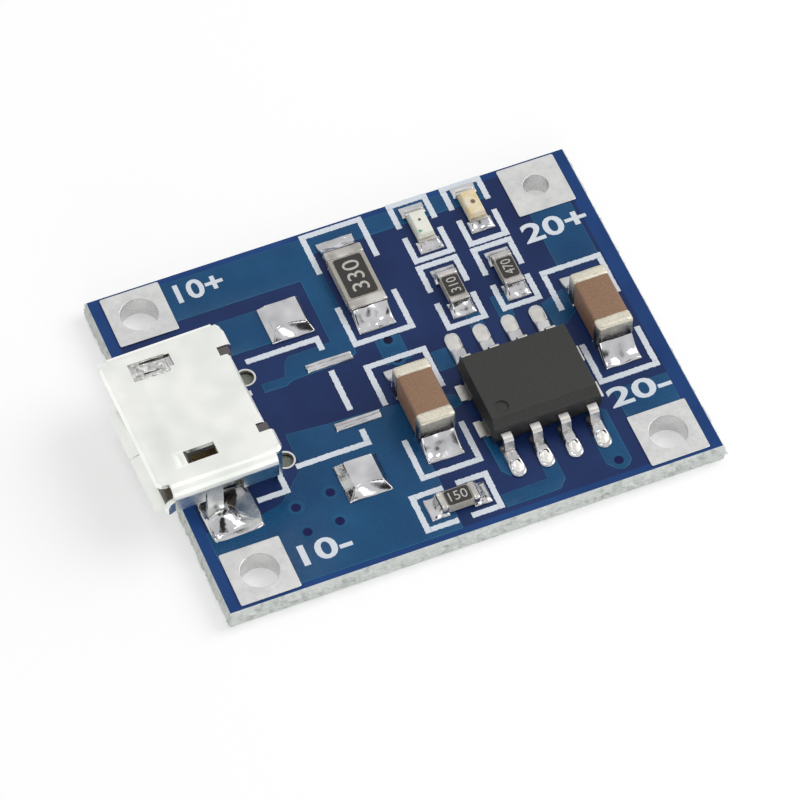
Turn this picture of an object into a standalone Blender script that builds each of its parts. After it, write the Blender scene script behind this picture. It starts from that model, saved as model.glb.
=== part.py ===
# Lithium battery charger module: a bare board with a micro-USB socket and its soldered parts

import math

import bmesh
import bpy
from mathutils import Matrix, Vector

OBJECT_NAME = "lithium_battery_charger_module"

# Gap between pieces that touch
FILM = 0.00001

# Board with scored and snapped edges
BOARD_LENGTH = 0.0220
BOARD_WIDTH = 0.0170
BOARD_THICKNESS = 0.0010
SCORE_DEPTH = 0.00033
SCORE_INSET = 0.00018

# Wire terminals at the corners
TERMINAL_SIZE = 0.00262
TERMINAL_CORNER = 0.00008
TERMINAL_HEIGHT = 0.00006
TERMINAL_RECESS = 0.00005
TERMINAL_END_INSET = 0.00069
TERMINAL_SIDE_INSET = 0.00029
BARREL_WALL = 0.00006
WIRE_BORE = 0.00163
CELL_BORE = 0.00110

# Locating holes behind the socket
LOCATING_BORE = 0.00074
LOCATING_WALL = 0.00004
LOCATING_RING = 0.00089
LOCATING_RING_HEIGHT = 0.00003
LOCATING_FROM_EDGE = 0.00493
LOCATING_SPACING = 0.00446

# Vias: by two terminals, as offsets from their centres, and in the gap over the input capacitor
VIA_BORE = 0.00040
IN_MINUS_VIAS = ((0.00248, 0.00231), (0.00405, 0.00248), (0.00248, 0.00103), (0.00389, 0.00103))
BAT_MINUS_VIAS = ((-0.00243, -0.00049),)
MIDDLE_VIA_OFFSET = 0.00005
MIDDLE_VIA_SHARES = (0.20, 0.685)

# Free gaps between the parts, from -X to +X or -Y to +Y, which stretch evenly to the board
ROW_GAPS = (0.00121, 0.00085, 0.00088, 0.00098)
MIDDLE_GAPS = (0.00116, 0.00158, 0.00221, 0.00091)
CHIP_GAPS = (0.00184, 0.00060, 0.00094, 0.00056)
CELL_GAPS = (0.00253, 0.00363)
CELL_SIDE_GAPS = (0.00072, 0.00151)
SPARE_GAPS = (0.00130, 0.00145, 0.00325)
COLUMN_OFFSETS = (-0.00089, 0.00158)
PROGRAM_RESISTOR_OFFSET = -0.00040
SENSE_OFFSET = (-0.00012, -0.00008)
LIGHT_OFFSETS = ((0.00002, 0), (-0.00003, 0.00018))

# Copper pads and metal caps of the soldered parts
PAD_HEIGHT = 0.00005
FILLET_NARROWING = 0.92
PAD_CORNER = 0.00010
CAP_WALL = 0.00003
COAT_HEIGHT = 0.00003

# Socket shell, folded from one sheet, measured from its front fold and from the board's top
SOCKET_SHIFT = -0.00007
SOCKET_TURN = 1.2
SHEET = 0.00022
SHELL_OVERHANG = 0.00047
SHELL_LENGTH = 0.00452
SHELL_WIDTH = 0.00750
SHELL_HEIGHT = 0.00265
SHELL_STANDOFF = 0.00008
SHELL_CORNER = 0.00050
SHELL_FOLD = 0.00025
FLOOR_INSET = 0.00103
FLOOR_MARGIN = 0.00015
BEVEL_TOP = 0.00138
SEAM_OFFSET = 0.00017
SEAM_WIDTH = 0.00006

# Flared lips round the mouth
LIP_CORNER = 0.00012
FLOOR_LIP_CORNER = 0.00005
TOP_LIP_INSET = 0.00053
TOP_LIP_REACH = 0.00048
TOP_LIP_RISE = 0.00016
SIDE_LIP_REACH = 0.00034
SIDE_LIP_FLARE = 0.00014
FLOOR_LIP_INSET = 0.00002
FLOOR_LIP_REACH = 0.00040
FLOOR_LIP_DROP = 0.00014

# Latch windows in the top, each with a spring leaf
WINDOW_START = 0.00106
WINDOW_SHIFT = 0.00012
WINDOW_LENGTH = 0.00132
WINDOW_WIDTH = 0.00062
WINDOW_INSET = 0.00136
LEAF_WIDTH = 0.00046
NEAR_LEAF_LENGTH = 0.00038
NEAR_LEAF_DROP = 0.00070
FAR_LEAF_LENGTH = 0.00115
FAR_LEAF_DROP = 0.00018
DIMPLE_LENGTH = 0.00030
DIMPLE_DEPTH = 0.00005
DIMPLE_MARGIN = 0.00010

# Side legs, rear flap and rear ears
LEG_START = 0.00137
LEG_LENGTH = 0.00070
LEG_SLOT_MARGIN = 0.00006
LEG_SLOT_TAIL = 0.00090
SIDE_CUT_TOP = 0.00208
NOTCH_DEPTH = 0.00025
NOTCH_WIDTH = 0.00045
NOTCH_INSET = 0.00145
FLAP_SETBACK = 0.00006
FLAP_END_HEIGHT = 0.00095
REAR_BEND = 0.00025
EAR_REACH = 0.00015
EAR_TAPER = 0.70
EAR_END_HEIGHT = 0.00090
REAR_LEG_INSET = 0.00100

# Insulator block and tongue
INSULATOR_CLEARANCE = 0.00002
BLOCK_DEPTH = 0.00115
LUG_SETBACK = 0.00017
LUG_STEP = 0.00008
TONGUE_START = 0.00027
TONGUE_MARGIN = 0.00010
TONGUE_LOW = 0.00155
TONGUE_THICKNESS = 0.00050

# Socket contacts
CONTACT_COUNT = 5
CONTACT_PITCH = 0.00065
CONTACT_WIDTH = 0.00025
CONTACT_THICKNESS = 0.00012
CONTACT_BEND = 0.00014
CONTACT_FRONT_MARGIN = 0.00012
CONTACT_DROP = 0.00045
GROOVE_DEPTH = 0.00006
TAIL_REACH = 0.00105
TAIL_PAD_LENGTH = 0.00065
TAIL_PAD_WIDTH = 0.00040
TAIL_PAD_MARGIN = 0.00010

# Solder joints of the side legs
LEG_PAD_MARGIN = 0.00020
LEG_PAD_LENGTH = 0.00226
LEG_PAD_UNDER = 0.00008
LEG_PAD_SHARE = 0.66
MOUND_SHARE = 0.52
MOUND_UNDER = 0.00055
MOUND_LENGTH = 0.00150
MOUND_HEIGHT = 0.00045
MOUND_SHOULDER = 1.6
MOUND_HOLLOW = 1.3

# Spare pads and bars with solder on them
SPARE_PAD_SIZE = 0.00190
SPARE_PAD_PILLOW = 0.00024
PILLOW_ROUND = 0.7
PILLOW_CREASE = 0.25
SPARE_BAR_LENGTH = 0.00204
SPARE_BAR_WIDTH = 0.00060
SPARE_BAR_HEIGHT = 0.00012
SPARE_BAR_EDGE = 0.00006
SPARE_BAR_CROWN = 0.00015
SPARE_BLOCK_LENGTH = 0.00287

# Charging chip
IC_LENGTH = 0.00490
IC_WIDTH = 0.00390
IC_HEIGHT = 0.00135
IC_STANDOFF = 0.00008
IC_DRAFT = 0.00013
IC_EDGE_BEVEL = 0.00032
IC_DIMPLE = 0.00060
IC_DIMPLE_DEPTH = 0.00008
IC_DIMPLE_INSET = (0.00073, 0.00087)
LEAD_COUNT = 8
LEAD_PITCH = 0.00127
LEAD_WIDTH = 0.00042
LEAD_THICKNESS = 0.00020
LEAD_SHOULDER = 0.00030
LEAD_SLOPE = 0.00018
LEAD_BEND = 0.00012
LEAD_REACH = 0.00105
LEAD_PAD_WIDTH = 0.00066
LEAD_PAD_LENGTH = 0.00180
LEAD_PAD_TIP = 0.00088
CHIP_SHIFT = -0.00016
LEAD_SOLDER = ((0.00007, 0.00008), (0.00015, 0.00014), (0.00025, 0.00018))
LEAD_SOLDER_HOLLOW = 0.00044
SLUG_LENGTH = 0.00330
SLUG_WIDTH = 0.00240
SLUG_CLEARANCE = 0.00002
EAR_SPACING = 0.00196
EAR_LENGTH = 0.00080
EAR_HEIGHT = 0.00018
EAR_OVERHANG = 0.00030

# Sense resistor
SENSE_LENGTH = 0.00310
SENSE_WIDTH = 0.00160
SENSE_HEIGHT = 0.00052
SENSE_BAND = 0.00046
SENSE_PAD_SPAN = 0.00507
SENSE_PAD_WIDTH = 0.00165
SENSE_CLIMB = 0.00048
SENSE_COAT_LENGTH = 0.00210
SENSE_COAT_WIDTH = 0.00125

# Small resistors
RESISTOR_LENGTH = 0.00160
RESISTOR_WIDTH = 0.00080
RESISTOR_HEIGHT = 0.00042
RESISTOR_BAND = 0.00025
RESISTOR_PAD_SPAN = 0.00270
RESISTOR_PAD_WIDTH = 0.00107
RESISTOR_CLIMB = 0.00036
RESISTOR_COAT_LENGTH = 0.00104
RESISTOR_COAT_WIDTH = 0.00072

# Block capacitors
CAPACITOR_LENGTH = 0.00304
CAPACITOR_WIDTH = 0.00152
CAPACITOR_HEIGHT = 0.00150
CAPACITOR_BAND = 0.00055
CAPACITOR_PAD_SPAN = 0.00503
CAPACITOR_PAD_WIDTH = 0.00155
CAPACITOR_CLIMB = 0.00085
CAPACITOR_EDGE = 0.00007

# Status lights
LED_LENGTH = 0.00160
LED_WIDTH = 0.00080
LED_BASE_HEIGHT = 0.00012
LED_BAND = 0.00010
LED_PAD_SPAN = 0.00260
LED_PAD_WIDTH = 0.00107
LED_CLIMB = 0.00020
LENS_LENGTH = 0.00132
LENS_WIDTH = 0.00076
LENS_HEIGHT = 0.00030
LENS_DRAFT = 0.00005
LENS_ROUND = 0.00003
LENS_CORNER = 0.00006

# Facet counts
HOLE_SIDES = 28
SMALL_HOLE_SIDES = 12
MOUND_SIDES = 20
CORNER_STEPS = 3
FOLD_STEPS = 2
FLARE_STEPS = 3
FLARE_CURVE = 1.5
FILLET_STEPS = 4
PILLOW_CELLS = 10

# Places that follow from the sizes
TOP = BOARD_THICKNESS
FLOOR_WIDTH = SHELL_WIDTH - 2 * FLOOR_INSET
TOP_LIP_WIDTH = SHELL_WIDTH - 2 * TOP_LIP_INSET
WINDOW_SPACING = SHELL_WIDTH - 2 * WINDOW_INSET
FLAP_WIDTH = SHELL_WIDTH - 2 * (NOTCH_INSET + NOTCH_WIDTH)
REAR_LEG_INNER = SHELL_WIDTH / 2 - REAR_LEG_INSET
BLOCK_START = SHELL_LENGTH - BLOCK_DEPTH
BLOCK_END = SHELL_LENGTH - FLAP_SETBACK + REAR_BEND - SHEET - INSULATOR_CLEARANCE
CONTACT_DROP_PLACE = BLOCK_START + CONTACT_DROP
FLOOR_LENGTH = CONTACT_DROP_PLACE - CONTACT_THICKNESS / 2 - FLOOR_MARGIN
CORE_LOW = PAD_HEIGHT + CAP_WALL + FILM
TERMINAL_X = BOARD_LENGTH / 2 - TERMINAL_END_INSET - TERMINAL_SIZE / 2
TERMINAL_Y = BOARD_WIDTH / 2 - TERMINAL_SIDE_INSET - TERMINAL_SIZE / 2
LOCATING_X = LOCATING_FROM_EDGE - BOARD_LENGTH / 2
CONTACT_TOP = TONGUE_LOW + GROOVE_DEPTH - FILM
TONGUE_WIDTH = (CONTACT_COUNT - 1) * CONTACT_PITCH + CONTACT_WIDTH + 2 * TONGUE_MARGIN


def linear(red, green, blue):
    return [(value / 255) ** 2.2 for value in (red, green, blue)]


# Colour, roughness and metallic value of each finish
FINISHES = {
    "blue_laminate": (linear(32, 78, 128), 0.35, 0.0),
    "tinned_pad": (linear(200, 200, 203), 0.38, 1.0),
    "solder": (linear(205, 206, 208), 0.22, 1.0),
    "shell_steel": (linear(226, 228, 222), 0.28, 1.0),
    "black_plastic": (linear(45, 44, 43), 0.55, 0.0),
    "contact_gold": (linear(214, 180, 96), 0.25, 1.0),
    "lead_tin": (linear(198, 198, 198), 0.30, 1.0),
    "white_ceramic": (linear(188, 184, 174), 0.60, 0.0),
    "dark_coat": (linear(44, 42, 40), 0.35, 0.0),
    "tan_ceramic": (linear(150, 118, 92), 0.45, 0.0),
    "led_base": (linear(214, 208, 190), 0.50, 0.0),
    "clear_lens": (linear(236, 230, 206), 0.20, 0.0),
    "amber_lens": (linear(235, 214, 150), 0.20, 0.0),
}


# Scene helpers


def clear_scene():
    for obj in list(bpy.data.objects):
        bpy.data.objects.remove(obj)


def new_collection(name, parent):
    made = bpy.data.collections.new(name)
    parent.children.link(made)
    return made


def finish(name):
    found = bpy.data.materials.get(name)
    if found:
        return found
    colour, roughness, metallic = FINISHES[name]
    made = bpy.data.materials.new(name)
    made.use_nodes = True
    shader = made.node_tree.nodes["Principled BSDF"]
    shader.inputs["Base Color"].default_value = (*colour, 1.0)
    shader.inputs["Roughness"].default_value = roughness
    shader.inputs["Metallic"].default_value = metallic
    return made


def mesh_of(name, bm):
    mesh = bpy.data.meshes.new(name)
    bm.to_mesh(mesh)
    bm.free()
    return mesh


def add_piece(name, mesh, slot, parent, place=(0, 0, 0), turn=0):
    piece = bpy.data.objects.new(name, mesh)
    parts.objects.link(piece)
    piece.parent = parent
    piece.location = place
    piece.rotation_euler.z = math.radians(turn)
    if not mesh.materials:
        mesh.materials.append(finish(slot))
    mesh.shade_smooth()
    mesh.set_sharp_from_angle(angle=math.radians(35))
    return piece


def add_group(name, parent, place, turn=0):
    group = bpy.data.objects.new(name, None)
    parts.objects.link(group)
    group.empty_display_size = BOARD_THICKNESS
    group.parent = parent
    group.location = place
    group.rotation_euler.z = math.radians(turn)
    return group


def add_cutter(name, bm, collection, place=(0, 0, 0)):
    cutter = bpy.data.objects.new(name, mesh_of(name, bm))
    collection.objects.link(cutter)
    cutter.location = place
    cutter.hide_render = True
    cutter.display_type = "WIRE"
    return cutter


def scratch(name, bm):
    made = bpy.data.objects.new(name, mesh_of(name, bm))
    helpers.objects.link(made)
    return made


def settled(obj):
    # The object with its modifiers applied
    graph = bpy.context.evaluated_depsgraph_get()
    mesh = bpy.data.meshes.new_from_object(obj.evaluated_get(graph))
    old = obj.data
    obj.modifiers.clear()
    obj.data = mesh
    bpy.data.meshes.remove(old)
    return obj


def combine(target, operation, tools):
    # The target joined with or cut by each of the tools, which are used up
    for tool in tools:
        modifier = target.modifiers.new(operation.title(), "BOOLEAN")
        modifier.operation = operation
        modifier.solver = "EXACT"
        modifier.object = tool
    settled(target)
    for tool in tools:
        mesh = tool.data
        bpy.data.objects.remove(tool)
        bpy.data.meshes.remove(mesh)
    return target


def taken(obj):
    # The mesh of a scratch object, which is removed
    mesh = obj.data
    bpy.data.objects.remove(obj)
    return mesh


def spread(low, high, sizes, gaps):
    # The centres of pieces in a row, with the free gaps round them stretched to fill it
    stretch = (high - low - sum(sizes)) / sum(gaps)
    centres = []
    for size, gap in zip(sizes, gaps):
        low += gap * stretch
        centres.append(low + size / 2)
        low += size
    return centres


def layout():
    # The centre of each part on the board
    side = BOARD_WIDTH / 2
    leads = LEAD_COUNT // 2
    chip_left = IC_LENGTH / 2 + EAR_OVERHANG
    chip_right = ((leads - 1) * LEAD_PITCH + LEAD_PAD_WIDTH) / 2
    chip_width = IC_WIDTH + 2 * (LEAD_REACH + LEAD_PAD_TIP)
    row = (SPARE_BLOCK_LENGTH, CAPACITOR_PAD_WIDTH, chip_left + chip_right)
    row_end = TERMINAL_X - TERMINAL_SIZE / 2
    spare_x, middle_x, chip_x = spread(LOCATING_X + LOCATING_RING / 2, row_end, row, ROW_GAPS)
    chip_x += (chip_left - chip_right) / 2
    middle = (RESISTOR_PAD_WIDTH, CAPACITOR_PAD_SPAN, SENSE_PAD_SPAN)
    program_y, input_y, sense_y = spread(-side, side, middle, MIDDLE_GAPS)
    column = (chip_width, RESISTOR_PAD_SPAN, LED_PAD_SPAN)
    chip_y, resistor_y, led_y = spread(-side, side, column, CHIP_GAPS)
    terminals = TERMINAL_Y - TERMINAL_SIZE / 2
    output_y = spread(-terminals, terminals, (CAPACITOR_PAD_SPAN,), CELL_GAPS)[0]
    chip_side = chip_x + IC_LENGTH / 2 + EAR_OVERHANG
    output_x = spread(chip_side, BOARD_LENGTH / 2, (CAPACITOR_PAD_WIDTH,), CELL_SIDE_GAPS)[0]
    bar_y, pad_y = spread(0, side, (SPARE_BAR_WIDTH, SPARE_PAD_SIZE), SPARE_GAPS)
    first, second = (chip_x + offset for offset in COLUMN_OFFSETS)
    lights = [(x + dx, led_y + dy) for x, (dx, dy) in zip((first, second), LIGHT_OFFSETS)]
    return {
        "spare_pad": (spare_x - SPARE_BLOCK_LENGTH / 2 + SPARE_PAD_SIZE / 2, pad_y),
        "spare_bar": (spare_x + SPARE_BLOCK_LENGTH / 2 - SPARE_BAR_LENGTH / 2, bar_y),
        "program_resistor": (middle_x + PROGRAM_RESISTOR_OFFSET, program_y),
        "input_capacitor": (middle_x, input_y),
        "sense_resistor": (middle_x + SENSE_OFFSET[0], sense_y + SENSE_OFFSET[1]),
        "ic": (chip_x, chip_y + CHIP_SHIFT),
        "led_resistor_a": (first, resistor_y),
        "led_resistor_b": (second, resistor_y),
        "charge_led": lights[0],
        "standby_led": lights[1],
        "output_capacitor": (output_x, output_y),
    }


def via_places():
    for x, y in IN_MINUS_VIAS:
        yield x - TERMINAL_X, y - TERMINAL_Y
    for x, y in BAT_MINUS_VIAS:
        yield x + TERMINAL_X, y - TERMINAL_Y
    middle_x, input_y = PLACES["input_capacitor"]
    low = input_y + CAPACITOR_PAD_SPAN / 2
    high = PLACES["sense_resistor"][1] - SENSE_PAD_SPAN / 2
    for share in MIDDLE_VIA_SHARES:
        yield middle_x + MIDDLE_VIA_OFFSET, low + (high - low) * share


# Shape helpers


def box(x_range, y_range, z_range):
    low = Vector((x_range[0], y_range[0], z_range[0]))
    high = Vector((x_range[1], y_range[1], z_range[1]))
    matrix = Matrix.Translation((low + high) / 2) @ Matrix.Diagonal((*(high - low), 1))
    bm = bmesh.new()
    bmesh.ops.create_cube(bm, size=1, matrix=matrix)
    return bm


def cylinder(radius, low, high, sides):
    matrix = Matrix.Translation((0, 0, (low + high) / 2))
    bm = bmesh.new()
    bmesh.ops.create_cone(
        bm, cap_ends=True, segments=sides, radius1=radius, radius2=radius, depth=high - low, matrix=matrix
    )
    return bm


def rounded_rectangle(x_range, half_width, corner, z, steps=CORNER_STEPS):
    low, high = x_range
    corner = min(corner, (high - low) / 2, half_width)
    arm = half_width - corner
    centres = ((high - corner, arm), (low + corner, arm), (low + corner, -arm), (high - corner, -arm))
    points = []
    for quarter, (x, y) in enumerate(centres):
        for step in range(steps + 1):
            angle = math.pi / 2 * (quarter + step / steps)
            points.append(Vector((x + corner * math.cos(angle), y + corner * math.sin(angle), z)))
    return points


def loft(rings):
    # A closed solid through rings that have as many points each
    bm = bmesh.new()
    loops = [[bm.verts.new(point) for point in ring] for ring in rings]
    count = len(rings[0])
    for lower, upper in zip(loops, loops[1:]):
        for here in range(count):
            after = (here + 1) % count
            bm.faces.new((lower[here], lower[after], upper[after], upper[here]))
    bm.faces.new(reversed(loops[0]))
    bm.faces.new(loops[-1])
    bmesh.ops.remove_doubles(bm, verts=bm.verts, dist=FILM / 100)
    return bm


def rounded_corner(before, corner, after, radius, steps):
    # The points of an arc that rounds one corner of a flat outline
    inward = (before - corner).normalized()
    outward = (after - corner).normalized()
    half = inward.angle(outward) / 2
    centre = corner + (inward + outward).normalized() * radius / math.sin(half)
    start = corner + inward * radius / math.tan(half) - centre
    side = math.copysign(1, inward.cross(outward))
    turn = side * (2 * half - math.pi)
    return [centre + Matrix.Rotation(turn * step / steps, 2) @ start for step in range(steps + 1)]


def bent_path(corners, radius, steps=CORNER_STEPS):
    points = [corners[0]]
    for before, corner, after in zip(corners, corners[1:], corners[2:]):
        points += rounded_corner(before, corner, after, radius, steps)
    points.append(corners[-1])
    return points


def extrude(bm, edges, move):
    # The edges pulled out into new faces, with the new edges returned
    made = bmesh.ops.extrude_edge_only(bm, edges=edges)["geom"]
    verts = [item for item in made if isinstance(item, bmesh.types.BMVert)]
    bmesh.ops.translate(bm, vec=move, verts=verts)
    fresh = set(verts)
    return [item for item in made if isinstance(item, bmesh.types.BMEdge) and set(item.verts) <= fresh]


def ribbon(name, path, width, thickness):
    # A strip that follows a path in the XZ plane
    bm = bmesh.new()
    ends = [bm.verts.new((path[0].x, side * width / 2, path[0].y)) for side in (-1, 1)]
    edges = [bm.edges.new(ends)]
    for here, there in zip(path, path[1:]):
        edges = extrude(bm, edges, (there.x - here.x, 0, there.y - here.y))
    bmesh.ops.recalc_face_normals(bm, faces=bm.faces)
    made = scratch(name, bm)
    modifier = made.modifiers.new("Thickness", "SOLIDIFY")
    modifier.thickness = thickness
    modifier.offset = 0
    modifier.use_even_offset = True
    return settled(made)


def turned(name, profile, sides):
    # A solid of revolution from a profile of radius and height that runs down its outer side
    bm = bmesh.new()
    verts = [bm.verts.new((radius, 0, height)) for radius, height in profile]
    for here, after in zip(verts, verts[1:]):
        bm.edges.new((here, after))
    made = scratch(name, bm)
    modifier = made.modifiers.new("Turn", "SCREW")
    modifier.steps = sides
    modifier.render_steps = sides
    modifier.use_merge_vertices = True
    modifier.merge_threshold = FILM / 10
    return settled(made)


# Board and its plated holes


def make_board():
    bm = box(
        (-BOARD_LENGTH / 2, BOARD_LENGTH / 2), (-BOARD_WIDTH / 2, BOARD_WIDTH / 2), (0, BOARD_THICKNESS)
    )
    for height in (SCORE_DEPTH, BOARD_THICKNESS - SCORE_DEPTH):
        everything = bm.verts[:] + bm.edges[:] + bm.faces[:]
        bmesh.ops.bisect_plane(bm, geom=everything, plane_co=(0, 0, height), plane_no=(0, 0, 1))
    for vert in bm.verts:
        if min(vert.co.z, BOARD_THICKNESS - vert.co.z) < SCORE_DEPTH / 2:
            vert.co.x -= math.copysign(SCORE_INSET, vert.co.x)
            vert.co.y -= math.copysign(SCORE_INSET, vert.co.y)
    board = add_piece("pcb_board", mesh_of("pcb_board", bm), "blue_laminate", root)
    modifier = board.modifiers.new("Holes", "BOOLEAN")
    modifier.operation = "DIFFERENCE"
    modifier.solver = "EXACT"
    modifier.operand_type = "COLLECTION"
    modifier.collection = board_cutters
    return board


def cut_board_hole(name, radius, place, sides):
    spare = BOARD_THICKNESS / 2
    bm = cylinder(radius, -spare, BOARD_THICKNESS + spare, sides)
    add_cutter(name, bm, board_cutters, place)


def make_terminal(name, x_side, y_side, bore):
    place = (x_side * TERMINAL_X, y_side * TERMINAL_Y, 0)
    half = TERMINAL_SIZE / 2
    upper = [
        rounded_rectangle((-half, half), half, TERMINAL_CORNER, height)
        for height in (TOP + FILM, TOP + FILM + TERMINAL_HEIGHT)
    ]
    lower = [rounded_rectangle((-half, half), half, TERMINAL_CORNER, height) for height in (0, TERMINAL_RECESS)]
    barrel = cylinder(bore / 2 + BARREL_WALL, TERMINAL_RECESS / 2, TOP + FILM + TERMINAL_HEIGHT / 2, HOLE_SIDES)
    spare = BOARD_THICKNESS / 2
    drill = cylinder(bore / 2, -spare, TOP + spare, HOLE_SIDES)
    terminal = scratch(name, loft(upper))
    combine(terminal, "UNION", [scratch("lower_pad", loft(lower)), scratch("barrel", barrel)])
    combine(terminal, "DIFFERENCE", [scratch("drill", drill)])
    add_piece(name, taken(terminal), "tinned_pad", root, place)
    cut_board_hole(name + "_hole", bore / 2 + BARREL_WALL + FILM, place, HOLE_SIDES)
    seat = half + FILM
    pocket = [
        rounded_rectangle((-seat, seat), seat, TERMINAL_CORNER + FILM, height)
        for height in (-spare, TERMINAL_RECESS + FILM)
    ]
    add_cutter(name + "_pocket", loft(pocket), board_cutters, place)


def make_hole_ring(name, side):
    inner = LOCATING_BORE / 2
    outer = LOCATING_RING / 2
    sleeve = inner + LOCATING_WALL
    face = TOP + LOCATING_RING_HEIGHT
    place = (LOCATING_X, side * LOCATING_SPACING / 2, 0)
    profile = (
        (inner, face),
        (outer, face),
        (outer, TOP + FILM),
        (sleeve, TOP + FILM),
        (sleeve, 0),
        (inner, 0),
        (inner, face),
    )
    add_piece(name, taken(turned(name, profile, HOLE_SIDES)), "tinned_pad", root, place)
    cut_board_hole(name + "_hole", sleeve + FILM, place, HOLE_SIDES)


# Socket


def shell_corners(inset):
    # The outline's corners on one side, moved inward: under the top, above the bevel and below it
    wall = SHELL_WIDTH / 2
    high = Vector((wall, BEVEL_TOP))
    slope = high - Vector((FLOOR_WIDTH / 2, SHELL_STANDOFF))
    shifted = high + Vector((-slope.y, slope.x)).normalized() * inset
    upper = shifted + slope * (wall - inset - shifted.x) / slope.x
    lower = shifted + slope * (SHELL_STANDOFF + inset - shifted.y) / slope.y
    return Vector((wall - inset, SHELL_HEIGHT - inset)), upper, lower


def shell_side(inset):
    # One side of the outline as three rounded corners, from the top down
    top_corner, upper, lower = shell_corners(inset)
    middle_top = Vector((0, top_corner.y))
    middle_low = Vector((0, lower.y))
    crown = rounded_corner(middle_top, top_corner, upper, SHELL_CORNER - inset, CORNER_STEPS + 1)
    fold = max(SHELL_FOLD - inset, FILM)
    shoulder = rounded_corner(top_corner, upper, lower, fold, FOLD_STEPS)
    keel = rounded_corner(upper, lower, middle_low, fold, FOLD_STEPS)
    return crown, shoulder, keel


def top_columns(side):
    # The points on one half of the top, from the middle out to where the crown starts
    window = WINDOW_SPACING / 2 + side * WINDOW_SHIFT
    across = {
        FLAP_WIDTH / 2,
        FLAP_WIDTH / 2 + NOTCH_WIDTH,
        REAR_LEG_INNER,
        TOP_LIP_WIDTH / 2,
        window - WINDOW_WIDTH / 2,
        window + WINDOW_WIDTH / 2,
        window - LEAF_WIDTH / 2,
        window + LEAF_WIDTH / 2,
    }
    return [Vector((side * y, SHELL_HEIGHT)) for y in sorted(across)]


def shell_columns():
    # The whole outline across the shell, from one edge of the floor's seam round to the other
    crown, shoulder, keel = shell_side(0)
    side = list(crown)
    side.append(Vector((SHELL_WIDTH / 2, SIDE_CUT_TOP)))
    side += shoulder + keel
    side.append(Vector((keel[-1].x - FLOOR_LIP_INSET, SHELL_STANDOFF)))
    right = top_columns(1) + side + [Vector((SEAM_OFFSET + SEAM_WIDTH / 2, SHELL_STANDOFF))]
    left = top_columns(-1) + [Vector((-point.x, point.y)) for point in side]
    left.append(Vector((SEAM_OFFSET - SEAM_WIDTH / 2, SHELL_STANDOFF)))
    return right[::-1] + left


def shell_stations():
    # The places along the shell where a cut or a fold starts or ends
    dimple_end = WINDOW_START - DIMPLE_MARGIN
    stations = {
        0,
        dimple_end - DIMPLE_LENGTH,
        dimple_end - DIMPLE_LENGTH / 2,
        dimple_end,
        WINDOW_START,
        WINDOW_START + WINDOW_LENGTH,
        LEG_START - LEG_SLOT_MARGIN,
        LEG_START,
        LEG_START + LEG_LENGTH,
        LEG_START + LEG_LENGTH + LEG_SLOT_TAIL,
        FLOOR_LENGTH,
        SHELL_LENGTH - NOTCH_DEPTH,
        SHELL_LENGTH - FLAP_SETBACK,
        SHELL_LENGTH,
    }
    return sorted(stations)


def shell_sheet():
    # The outline run along the stations as an open sheet
    stations = shell_stations()
    columns = shell_columns()
    bm = bmesh.new()
    bmesh.ops.create_grid(bm, x_segments=len(stations) - 1, y_segments=len(columns) - 1, size=1)
    for vert in bm.verts:
        station = round((vert.co.x + 1) / 2 * (len(stations) - 1))
        column = round((vert.co.y + 1) / 2 * (len(columns) - 1))
        vert.co = (stations[station], columns[column].x, columns[column].y)
    return bm


def cut_faces(bm, inside):
    faces = [face for face in bm.faces if inside(face.calc_center_median())]
    bmesh.ops.delete(bm, geom=faces, context="FACES")


def rim_edges(bm, inside):
    found = []
    for edge in bm.edges:
        if edge.is_boundary and inside((edge.verts[0].co + edge.verts[1].co) / 2):
            found.append(edge)
    return found


def near(value, target):
    return abs(value - target) < FILM / 2


def by_window(y, width):
    return abs(abs(y - WINDOW_SHIFT) - WINDOW_SPACING / 2) < width / 2


def flare_share(step):
    # The share of a flare's height that one step of its curve climbs
    return ((step + 1) ** FLARE_CURVE - step**FLARE_CURVE) / FLARE_STEPS**FLARE_CURVE


def flare_lip(bm, edges, outward, reach, rise, corner=LIP_CORNER):
    # A lip that curves forward and outward, with its corners drawn in at the tip
    middle = sum((vert.co for edge in edges for vert in edge.verts), Vector()) / (2 * len(edges))
    for step in range(FLARE_STEPS):
        lift = rise * flare_share(step)
        move = Vector((-reach / FLARE_STEPS, 0, 0)) + outward * lift
        edges = extrude(bm, edges, move)
    along = outward.cross(Vector((1, 0, 0)))
    tips = {vert for edge in edges for vert in edge.verts}
    half = max(abs((vert.co - middle).dot(along)) for vert in tips)
    for vert in tips:
        offset = (vert.co - middle).dot(along)
        vert.co -= along * offset * corner / half


def bend_down(bm, edges, straight, end_height, taper, inner):
    # A tab that runs straight back, bends down and ends at a height, narrowing toward its inner side
    if straight:
        edges = extrude(bm, edges, (straight, 0, 0))
    for step in range(CORNER_STEPS):
        before = math.pi / 2 * step / CORNER_STEPS
        after = math.pi / 2 * (step + 1) / CORNER_STEPS
        along = math.sin(after) - math.sin(before)
        down = math.cos(after) - math.cos(before)
        edges = extrude(bm, edges, (REAR_BEND * along, 0, REAR_BEND * down))
        share = taper ** (1 / CORNER_STEPS)
        for vert in {vert for edge in edges for vert in edge.verts}:
            seat = math.copysign(inner, vert.co.y)
            if taper < 1:
                vert.co.y = seat + (vert.co.y - seat) * share
    drop = SHELL_HEIGHT - REAR_BEND - end_height
    return extrude(bm, edges, (0, 0, -drop))


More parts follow.
